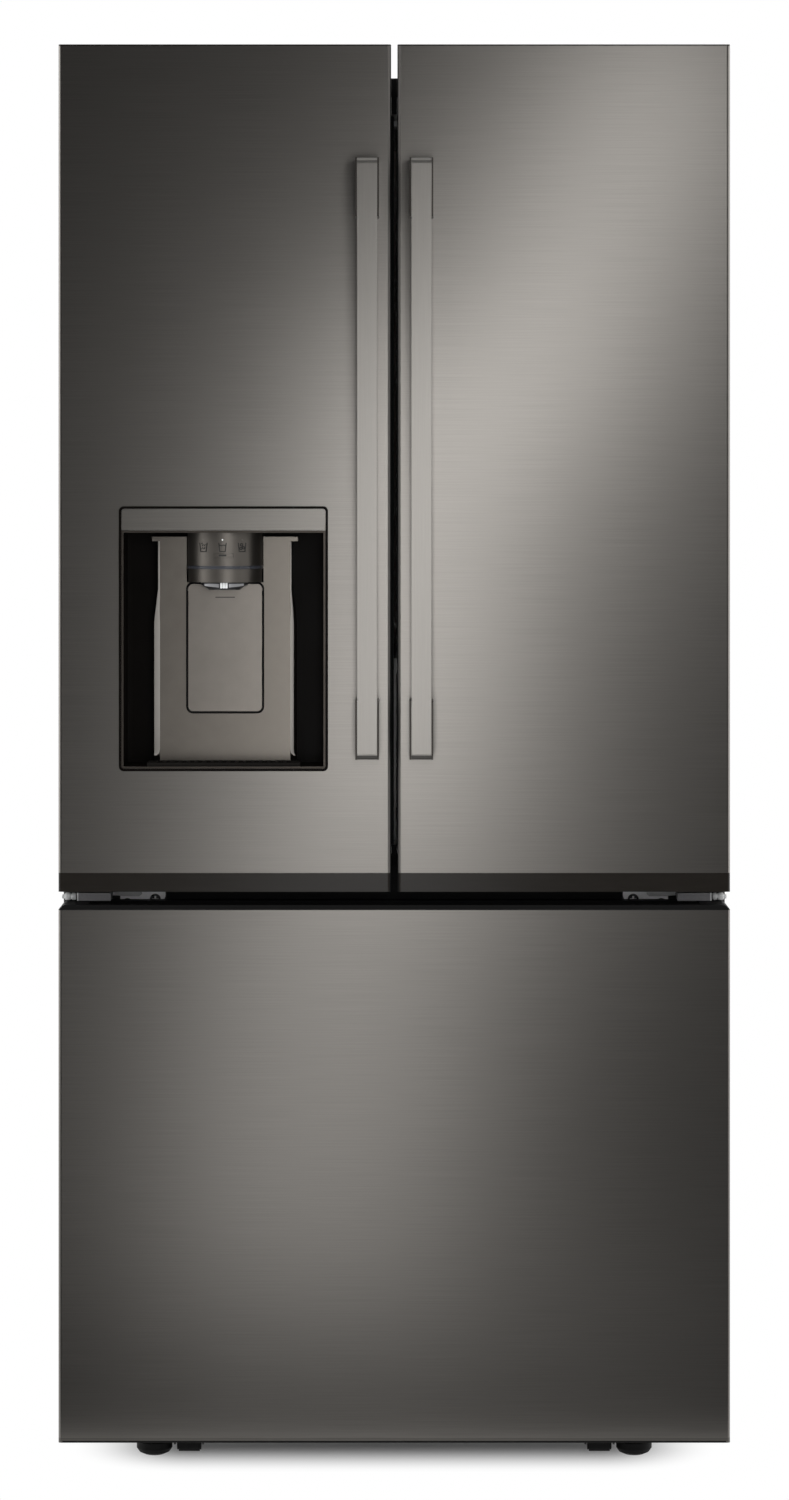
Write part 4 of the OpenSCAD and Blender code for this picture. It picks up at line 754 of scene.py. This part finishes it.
# Painted shade: a near-black line along the drawer's bottom edge, where it meets the shadow under the
# cabinet
low_lo, low_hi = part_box("drawer_caps")
x0, x1 = low_lo.x + 5 * MM, low_hi.x - 5 * MM
z0, z1 = low_lo.z + 0.1 * MM, low_lo.z + 2.3 * MM
strip = [(x0, z0), (x1, z0), (x1, z1), (x0, z1)]
piece(
    "drawer_low_shade_line", prism(bmesh.new(), strip, low_lo.y - 0.15 * MM, low_lo.y + 0.5 * MM),
    black_parts_and_painted_shade, "freezer_drawer",
)

# ---------------------------------------------------------------- hinges

HALFWAY = 1.0       # the middle hinges lie below this height, the top hinges above it
KNOB_X = 415.3 * MM
KNOB = [        # radius and distance from the middle, in mm
    (0.1, 0), (2.6, 0.4), (2.8, 2.2), (2.4, 3.2), (4.4, 4.2), (4.9, 5.6), (4.9, 9.5), (4.2, 10.8),
    (3.4, 11.6), (3.6, 12.4), (4.7, 13.2), (4.7, 16.0), (3.9, 17.4), (0.1, 17.6),
]
finish_faces("hinge_covers", grey_plastic, lambda c, n: c.z < HALFWAY)
finish_faces("hinge_brackets", black_satin, lambda c, n: c.z < HALFWAY)
finish_faces("hinge_screws", screw_dark, lambda c, n: c.z < HALFWAY)

gap_lo, gap_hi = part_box("drawer_skin")[1].z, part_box("left_door_caps")[0].z
gap_mid = (gap_lo + gap_hi) / 2
screws = [s for s in shells("hinge_screws") if s[0].z < HALFWAY]
grips = [s for s in shells("hinge_covers") if s[0].z < HALFWAY]
screw_y = min(s[0].y for s in screws)
plate_y = screw_y + 2.3 * MM
pin_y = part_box("hinge_brackets")[0].y + 11.5 * MM
for side, name in ((-1, "left"), (1, "right")):
    main = min((s for s in screws if s[0].x * side > 0), key=lambda s: abs(s[0].x))
    grip = next(g for g in grips if g[0].x * side > 0)
    sx, sz = (main[0].x + main[1].x) / 2, (main[0].z + main[1].z) / 2

    # The bright face of the bracket, round at its inner end, painted lighter than its steel against the
    # shade of the gap
    inner, outer = sx - side * 13 * MM, sx + side * 44 * MM
    z0, z1 = gap_lo + 0.2 * MM, gap_hi - 0.3 * MM
    half = (z1 - z0) / 2
    r = half - 0.4 * MM
    pts = [(outer, z0), (outer, z1)]
    for t in range(0, 181, 15):
        a = math.radians(t)
        pts.append((inner + side * (r - r * math.sin(a)), (z0 + z1) / 2 + half * math.cos(a)))
    piece(
        f"{name}_hinge_face",
        prism(bmesh.new(), pts, plate_y - 0.9 * MM, plate_y + 0.3 * MM, 1, 0.0003),
        hinge_face_painted_lighter, "cabinet",
    )

    # The main screw's bright cross
    bm = bmesh.new()
    for a, b in ((4.2, 1.2), (1.2, 4.2)):
        block(
            bm, (sx - a * MM, screw_y - 0.25 * MM, sz - b * MM),
            (sx + a * MM, screw_y + 0.3 * MM, sz + b * MM), 0.0003, 2,
        )
    piece(f"{name}_screw_cross", bm, bracket_steel, "cabinet")

    # The lever between the grip block and the bracket's face
    gx_in, gx_out = (grip[0].x, grip[1].x) if side > 0 else (grip[1].x, grip[0].x)
    x0, x1 = gx_in - side * 0.3 * MM, sx + side * 17 * MM
    pts = [
        (x0, gap_mid - 1.0 * MM), (x0, gap_mid + 4.6 * MM), (x1 + side * 7 * MM, gap_mid + 4.6 * MM),
        (x1, gap_mid + 3.4 * MM), (x1 - side * 0.5 * MM, gap_mid + 0.6 * MM),
        (x1 + side * 3 * MM, gap_mid - 2.2 * MM), (x1 + side * 14 * MM, gap_mid - 2.2 * MM),
    ]
    piece(
        f"{name}_lever", prism(bmesh.new(), pts, plate_y - 7 * MM, plate_y - 2.4 * MM, 1, 0.0006),
        lever_grey, "cabinet",
    )

    # The white end plate of the grip block
    x0, x1 = sorted((gx_out, gx_out + side * 1.9 * MM))
    end_plate = block(
        bmesh.new(), (x0, grip[0].y + 0.2 * MM, grip[0].z - 0.2 * MM),
        (x1, grip[0].y + 9 * MM, grip[1].z + 0.2 * MM), 0.0004,
    )
    piece(f"{name}_end_plate", end_plate, tip_white, "cabinet")

    # The clear knob beside it
    knob = turned(
        bmesh.new(), [(r * MM, -side * h * MM) for r, h in KNOB],
        (side * KNOB_X, pin_y - 13.2 * MM, grip[0].z + 5.2 * MM), "X", steps=28,
    )
    piece(f"{name}_knob", knob, clear_knob, "cabinet")

# ---------------------------------------------------------------- doors, gaskets and bins

for side, body in (("left", "left_door"), ("right", "right_door"), ("drawer", "freezer_drawer")):
    lo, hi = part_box(f"{side}_gasket")
    bm = bmesh.new()
    for y in (lo.y + 2.6 * MM, lo.y + 6.6 * MM):
        fold = loop(lo.x + 0.4 * MM, lo.z + 0.4 * MM, hi.x - 0.4 * MM, hi.z - 0.4 * MM, y, 6 * MM)
        tube(bm, fold, 1.7 * MM, True, 8)
    piece(f"{side}_gasket_folds", bm, rubber, body)

BIN_LEAST = 0.02                                    # solids lower than this get no rim
BIN_CORNER = ((1.2, 9), (3.4, 3.6), (9, 1.2))       # in from the side and the front, mm
for side in ("left", "right"):
    rims, bands = bmesh.new(), bmesh.new()
    for lo, hi in shells(f"{side}_bins"):
        if hi.z - lo.z < BIN_LEAST:
            continue
        z = hi.z - 2.0 * MM
        run = [(1.2 * MM, lo.y + 6 * MM)] + [(u * MM, hi.y - v * MM) for u, v in BIN_CORNER]
        path = [(lo.x + u, y, z) for u, y in run]
        path += [(hi.x - u, y, z) for u, y in reversed(run)]
        tube(rims, path, 2.4 * MM, False, 8)
        block(
            bands, (lo.x + 8 * MM, hi.y - 0.6 * MM, lo.z + 8 * MM),
            (hi.x - 8 * MM, hi.y + 0.7 * MM, lo.z + 13 * MM), 0.0005, 2,
        )
    piece(f"{side}_bin_rims", rims, white_satin, f"{side}_door")
    piece(f"{side}_bin_bands", bands, white_satin, f"{side}_door")

# ---------------------------------------------------------------- fresh food space

fresh_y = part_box("fresh_liner")[0].y
bm = bmesh.new()
for lo, hi in shells("glass_shelves"):
    if hi.x - lo.x <= 0.2 or hi.y - lo.y < 0.3:
        continue
    y, z = lo.y, (lo.z + hi.z) / 2
    pts = [
        (y - 1.6 * MM, z - 7 * MM), (y - 1.6 * MM, z + 1.6 * MM), (y - 0.6 * MM, z + 3.2 * MM),
        (y + 8 * MM, z + 3.2 * MM), (y + 8 * MM, z + 2.4 * MM), (y - 0.1 * MM, z + 2.4 * MM),
        (y - 0.1 * MM, z - 7 * MM),
    ]
    prism(bm, pts, lo.x + 2 * MM, hi.x - 2 * MM, 0, 0.0003)
piece("shelf_trims", bm, rail_steel, "cabinet")

# A lamp window in the ceiling and a slotted air channel on the back wall
ice_lo, ice_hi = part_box("ice_room")
ceil_z = ice_hi.z + 0.2 * MM
window = round_rect(-0.12, fresh_y + 0.10, 0.12, fresh_y + 0.16, 0.012)
lamp = prism(bmesh.new(), window, ceil_z - 6.5 * MM, ceil_z - 0.3 * MM, 2, 0.0015)
piece("ceiling_lamp", lamp, lamp_white, "cabinet")
back_y = ice_hi.y
CHANNEL_LO, CHANNEL_HI, CHANNEL_HALF = 1.03, 1.60, 0.053
SLOT_ROWS, SLOT_FIRST, SLOT_PITCH = 12, 0.05, 0.042
SLOT_X, SLOT_LONG, SLOT_HIGH = 0.024, 0.017, 0.0035     # the last two are halves
channel = round_rect(-CHANNEL_HALF, CHANNEL_LO, CHANNEL_HALF, CHANNEL_HI, 0.014)
tower = prism(bmesh.new(), channel, back_y - 7.5 * MM, back_y - 0.2 * MM, 1, 0.002)
piece("air_channel", tower, white_satin, "cabinet")
slots = bmesh.new()
for i in range(SLOT_ROWS):
    z = CHANNEL_LO + SLOT_FIRST + i * SLOT_PITCH
    for x in (-SLOT_X, SLOT_X):
        opening = round_rect(x - SLOT_LONG, z - SLOT_HIGH, x + SLOT_LONG, z + SLOT_HIGH, 0.003, 3)
        prism(slots, opening, back_y - 7.9 * MM, back_y - 7.3 * MM)
piece("air_channel_slots", slots, grey_plastic, "cabinet")

# The ice room's front: a raised panel with a latch
front = ice_lo.y - 0.2 * MM
bm = bmesh.new()
for inset, near, far, soft in ((3.5, 9.5, 0, 2.2), (17, 12, 9, 1.4)):
    inset *= MM
    panel = round_rect(
        ice_lo.x + inset, ice_lo.z + inset, ice_hi.x - inset, ice_hi.z - inset, 14 * MM
    )
    prism(bm, panel, front - near * MM, front - far * MM, 1, soft * MM)
piece("ice_front", bm, white_satin, "cabinet")
ice_mid = (ice_lo.x + ice_hi.x) / 2
bm = bmesh.new()
for half, z0, z1, r, near, far, soft in (
    (0.036, 0.030, 0.056, 0.010, 16.5, 11.6, 0.0018),
    (0.028, 0.036, 0.044, 0.0035, 17.6, 16.2, 0.0005),
):
    latch = round_rect(ice_mid - half, ice_lo.z + z0, ice_mid + half, ice_lo.z + z1, r)
    prism(bm, latch, front - near * MM, front - far * MM, 1, soft)
piece("ice_latch", bm, grey_plastic, "cabinet")

# Dark guides where the mullion's ends meet the case
GUIDE_HALF = 3.4 * MM
GUIDE_HEIGHTS = ((1.6902, 1.7352), (0.7455, 0.7716))
bm = bmesh.new()
for z0, z1 in GUIDE_HEIGHTS:
    block(
        bm, (-GUIDE_HALF, fresh_y - 0.9 * MM, z0), (GUIDE_HALF, fresh_y + 0.3 * MM, z1), 0.0003, 2
    )
piece("mullion_guides", bm, black_parts_and_painted_shade, "cabinet")

# Crispers: a rolled grip along the front and a raised frame under it
for side in ("left", "right"):
    crisper = f"{side}_crisper"
    lo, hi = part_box(crisper)
    z = hi.z - 9 * MM
    pts = [
        (lo.y + 0.2 * MM, z + 8.6 * MM), (lo.y - 2.4 * MM, z + 8.2 * MM), (lo.y - 3.4 * MM, z + 5 * MM),
        (lo.y - 3.2 * MM, z - 3 * MM), (lo.y - 2.2 * MM, z - 8 * MM), (lo.y + 0.2 * MM, z - 9.5 * MM),
    ]
    grip = prism(bmesh.new(), pts, lo.x + 6 * MM, hi.x - 6 * MM, 0, 0.0008)
    piece(f"{side}_crisper_grip", grip, white_satin, crisper)
    bead = loop(
        lo.x + 22 * MM, lo.z + 20 * MM, hi.x - 22 * MM, hi.z - 30 * MM, lo.y - 0.4 * MM, 10 * MM
    )
    piece(
        f"{side}_crisper_bead", tube(bmesh.new(), bead, 1.1 * MM, True, 8),
        clear_bin, crisper,
    )

# ---------------------------------------------------------------- freezer

RIBS, RIB_FIRST, RIB_PITCH = 9, 0.05, 0.036
lo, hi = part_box("drawer_basket")
rail = loop(lo.x + 1.6 * MM, lo.y + 1.6 * MM, hi.x - 1.6 * MM, hi.y - 1.6 * MM, 0, 12 * MM)
bm = tube(bmesh.new(), rail, 1.5 * MM, True, 8)
for v in bm.verts:      # laid flat near the basket's rim
    v.co = Vector((v.co.x, v.co.z, hi.z - 6 * MM + v.co.y))
for side in (-1, 1):
    for i in range(RIBS):
        y = lo.y + RIB_FIRST + i * RIB_PITCH
        x = (hi.x if side > 0 else lo.x) - side * 0.1 * MM
        tube(bm, [(x, y, hi.z - 0.03), (x, y, lo.z + 0.06)], 0.9 * MM, False, 6)
piece("basket_ribs", bm, frost_bin, "freezer_drawer")

TRAY_GRIP_HALF = 0.09
lo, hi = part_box("freezer_tray")
pts = [
    (lo.y + 0.2 * MM, hi.z - 0.4 * MM), (lo.y - 2.2 * MM, hi.z - 1.0 * MM), (lo.y - 3.0 * MM, hi.z - 5 * MM),
    (lo.y - 2.6 * MM, hi.z - 15 * MM), (lo.y + 0.2 * MM, hi.z - 17 * MM),
]
grip = prism(bmesh.new(), pts, -TRAY_GRIP_HALF, TRAY_GRIP_HALF, 0, 0.0008)
piece("tray_grip", grip, white_satin, "freezer_tray")

# ---------------------------------------------------------------- back, top and underside

HEAD_HIGH = 0.0016      # how far the screw heads stand out
PANEL_HEAD, COVER_HEAD = 0.0042, 0.0040     # their radii


def screw_head(bm, place, r, axis, out):
    """A domed head with a cross on it, standing out of place along axis by out."""
    turned(
        bm, [(r, 0), (r, 0.5 * out), (r * 0.86, 0.82 * out), (r * 0.5, 0.96 * out), (0.0001, out)],
        place, axis, steps=20,
    )
    k = "XYZ".index(axis)
    u, v = (i for i in range(3) if i != k)
    for a, b in ((0.55, 0.12), (0.12, 0.55)):
        lo, hi = list(place), list(place)
        lo[u] -= a * r
        hi[u] += a * r
        lo[v] -= b * r
        hi[v] += b * r
        lo[k], hi[k] = sorted((place[k] + 0.7 * out, place[k] + 1.02 * out))
        block(bm, lo, hi)


SIDE_X, SIDE_ROWS = 0.402, (0.30, 0.62, 0.98, 1.34, 1.70)       # down both sides of the back
TOP_ROW, TOP_Z = (-0.27, 0, 0.27), 1.722
LOW_ROW, LOW_ZS = (-0.39, -0.2, 0.0, 0.2, 0.345), (0.256, 0.056)        # of the lower cover
screw_places = [(side * SIDE_X, z) for z in SIDE_ROWS for side in (-1, 1)]
screw_places += [(x, TOP_Z) for x in TOP_ROW]
screw_places += [(x, z) for x in LOW_ROW for z in LOW_ZS]
screw_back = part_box("rear_panels")[1].y + 0.0001
bm = bmesh.new()
for x, z in screw_places:
    screw_head(bm, (x, screw_back, z), PANEL_HEAD, "Y", HEAD_HIGH)
piece("back_screws", bm, screw_steel, "cabinet")

COVER_X = 0.372
cov_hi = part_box("hinge_covers")[1]
bm = bmesh.new()
for side in (-1, 1):
    for y in (cov_hi.y - 0.014, cov_hi.y - 0.098):
        screw_head(bm, (side * COVER_X, y, cov_hi.z - 0.0002), COVER_HEAD, "Z", HEAD_HIGH)
piece("cover_screws", bm, screw_steel, "cabinet")

# ---------------------------------------------------------------- stage and lights

SHADOW_INSET = 0.16     # the shadow fades over this distance, up to the object's outline


def white_for_eye(tree, shader_out, target, near, far):
    """Camera, glossy and transmission rays see the lit shader mixed with plain white: by near
    under the object and by far beside it, so that only its shadow shows."""
    at = tree.nodes.new("ShaderNodeSeparateXYZ")
    link(tree, tree.nodes.new("ShaderNodeTexCoord").outputs["Object"], at.inputs[0])
    away = tree.nodes.new("ShaderNodeCombineXYZ")
    for i, axis in enumerate("XY"):
        last = at.outputs[axis]
        mid = (cad_box[0][i] + cad_box[1][i]) / 2
        half = (cad_box[1][i] - cad_box[0][i]) / 2 - SHADOW_INSET
        if axis == "Y":
            mid = (DOOR_Y + cad_box[1][1]) / 2
            half = (cad_box[1][1] - DOOR_Y) / 2 - SHADOW_INSET
        steps = (("SUBTRACT", mid), ("ABSOLUTE", 0), ("SUBTRACT", half), ("MAXIMUM", 0))
        for operation, value in steps:
            step = tree.nodes.new("ShaderNodeMath")
            step.operation = operation
            step.inputs[1].default_value = value
            link(tree, last, step.inputs[0])
            last = step.outputs[0]
        link(tree, last, away.inputs[axis])
    span = tree.nodes.new("ShaderNodeVectorMath")
    span.operation = "LENGTH"
    link(tree, away.outputs[0], span.inputs[0])
    keep = spread(tree, span.outputs["Value"], near, far, 0.0, SHADOW_INSET, True)
    path = tree.nodes.new("ShaderNodeLightPath")
    seen = path.outputs["Is Camera Ray"]
    for other in ("Is Glossy Ray", "Is Transmission Ray"):
        top = tree.nodes.new("ShaderNodeMath")
        top.operation = "MAXIMUM"
        link(tree, seen, top.inputs[0])
        link(tree, path.outputs[other], top.inputs[1])
        seen = top.outputs[0]
    share = tree.nodes.new("ShaderNodeMath")
    share.operation = "MULTIPLY"
    link(tree, keep, share.inputs[1])
    link(tree, seen, share.inputs[0])
    glow = tree.nodes.new("ShaderNodeEmission")
    glow.inputs["Strength"].default_value = 1.0
    mix = tree.nodes.new("ShaderNodeMixShader")
    link(tree, share.outputs[0], mix.inputs[0])
    link(tree, shader_out, mix.inputs[1])
    link(tree, glow.outputs[0], mix.inputs[2])
    link(tree, mix.outputs[0], target)


ROOM_LIGHT = 0.75                           # on everything but mirror reflections
STUDIO_NEAR, STUDIO_FAR = 0.035, 0.95       # reflected from the camera's side, and from behind
STUDIO_FROM, STUDIO_TO = -0.84, -0.3        # the direction's y between the two

world = bpy.data.worlds.new("studio")
scene.world = world
world.use_nodes = True
w_tree = world.node_tree


def background(strength):
    node = w_tree.nodes.new("ShaderNodeBackground")
    node.inputs["Color"].default_value = (1, 1, 1, 1)
    node.inputs["Strength"].default_value = strength
    return node


def mixed(a, b, share):
    node = w_tree.nodes.new("ShaderNodeMixShader")
    link(w_tree, share, node.inputs[0])
    link(w_tree, a.outputs[0], node.inputs[1])
    link(w_tree, b.outputs[0], node.inputs[2])
    return node


# Metal sees the white studio too, but the camera's end of it is dark
path = w_tree.nodes.new("ShaderNodeLightPath")
direction = w_tree.nodes.new("ShaderNodeSeparateXYZ")
link(w_tree, w_tree.nodes.new("ShaderNodeTexCoord").outputs["Generated"], direction.inputs[0])
studio = background(1.0)
studio_light = spread(
    w_tree, direction.outputs["Y"], STUDIO_NEAR, STUDIO_FAR, STUDIO_FROM, STUDIO_TO
)
link(w_tree, studio_light, studio.inputs["Strength"])
seen = w_tree.nodes.new("ShaderNodeMath")
seen.operation = "MAXIMUM"
link(w_tree, path.outputs["Is Camera Ray"], seen.inputs[0])
link(w_tree, path.outputs["Is Transmission Ray"], seen.inputs[1])
lit = mixed(background(ROOM_LIGHT), studio, path.outputs["Is Glossy Ray"])
shown = mixed(lit, background(1.0), seen.outputs[0])
link(w_tree, shown.outputs[0], w_tree.nodes["World Output"].inputs["Surface"])

floor_mesh = bpy.data.meshes.new("floor")
FLOOR_SIDE, FLOOR_FRONT, FLOOR_BACK = 2.0, DOOR_Y - 0.15, 2.5
WHITE_UNDER, WHITE_BESIDE = 0.05, 1.0       # shares of plain white in the floor
floor_mesh.from_pydata(
    [
        (-FLOOR_SIDE, FLOOR_FRONT, 0), (FLOOR_SIDE, FLOOR_FRONT, 0),
        (FLOOR_SIDE, FLOOR_BACK, 0), (-FLOOR_SIDE, FLOOR_BACK, 0),
    ],
    [], [(0, 1, 2, 3)],
)
floor = bpy.data.objects.new("floor", floor_mesh)
scene.collection.objects.link(floor)
floor_mat = material("floor_white", (0.86, 0.86, 0.86), 0.8, 0.0, 0.01, 0.05, (3, EVEN))
floor_mesh.materials.append(floor_mat)
f_tree = floor_mat.node_tree
white_for_eye(
    f_tree, f_tree.nodes["Principled BSDF"].outputs[0],
    f_tree.nodes["Material Output"].inputs["Surface"], WHITE_UNDER, WHITE_BESIDE,
)


def area_light(name, place, aim, size, power, spin=0.0):
    """A soft light at place, turned to aim, its size (width, height) in metres, power in watts."""
    data = bpy.data.lights.new(name, "AREA")
    data.shape = "RECTANGLE"
    data.size, data.size_y = size
    data.energy = power
    lamp = bpy.data.objects.new(name, data)
    scene.collection.objects.link(lamp)
    lamp.location = place
    turn = (Vector(aim) - Vector(place)).to_track_quat("-Z", "Y")
    lamp.rotation_mode = "QUATERNION"
    lamp.rotation_quaternion = turn @ Matrix.Rotation(spin, 4, "Z").to_quaternion()
    lamp.visible_camera = False


BAND_D = 1.6      # the four band softboxes stand this far ahead of the doors
BANDS = (         # name, x, z, size, power, spin in degrees
    ("band_high", 0.325, 1.626, (0.18, 0.80), 2.48, -23.5),
    ("band_middle", 0.02, 1.05, (0.23, 0.80), 2.95, -6.5),
    ("band_low", -0.10, 0.30, (0.38, 0.74), 1.64, -9.1),
    ("band_foot", 0.08, -0.14, (0.90, 0.26), 0.20, 0.0),
)
for name, x, z, size, power, spin in BANDS:
    area_light(name, (x, DOOR_Y - BAND_D, z), (x, DOOR_Y, z), size, power, math.radians(spin))
SOFTS = (         # name, place, aim, size, power
    ("top_soft", (0.0, 0.1, 3.4), (0, 0.1, 0), (3.0, 2.4), 42),
    ("left_soft", (-3.2, -0.4, 1.5), (0, 0, 0.9), (2.0, 2.4), 30),
    ("right_soft", (3.2, -0.4, 1.5), (0, 0, 0.9), (2.0, 2.4), 30),
    ("back_soft", (0, 3.6, 1.6), (0, 0, 0.9), (2.4, 2.4), 36),
)
for soft in SOFTS:
    area_light(*soft)
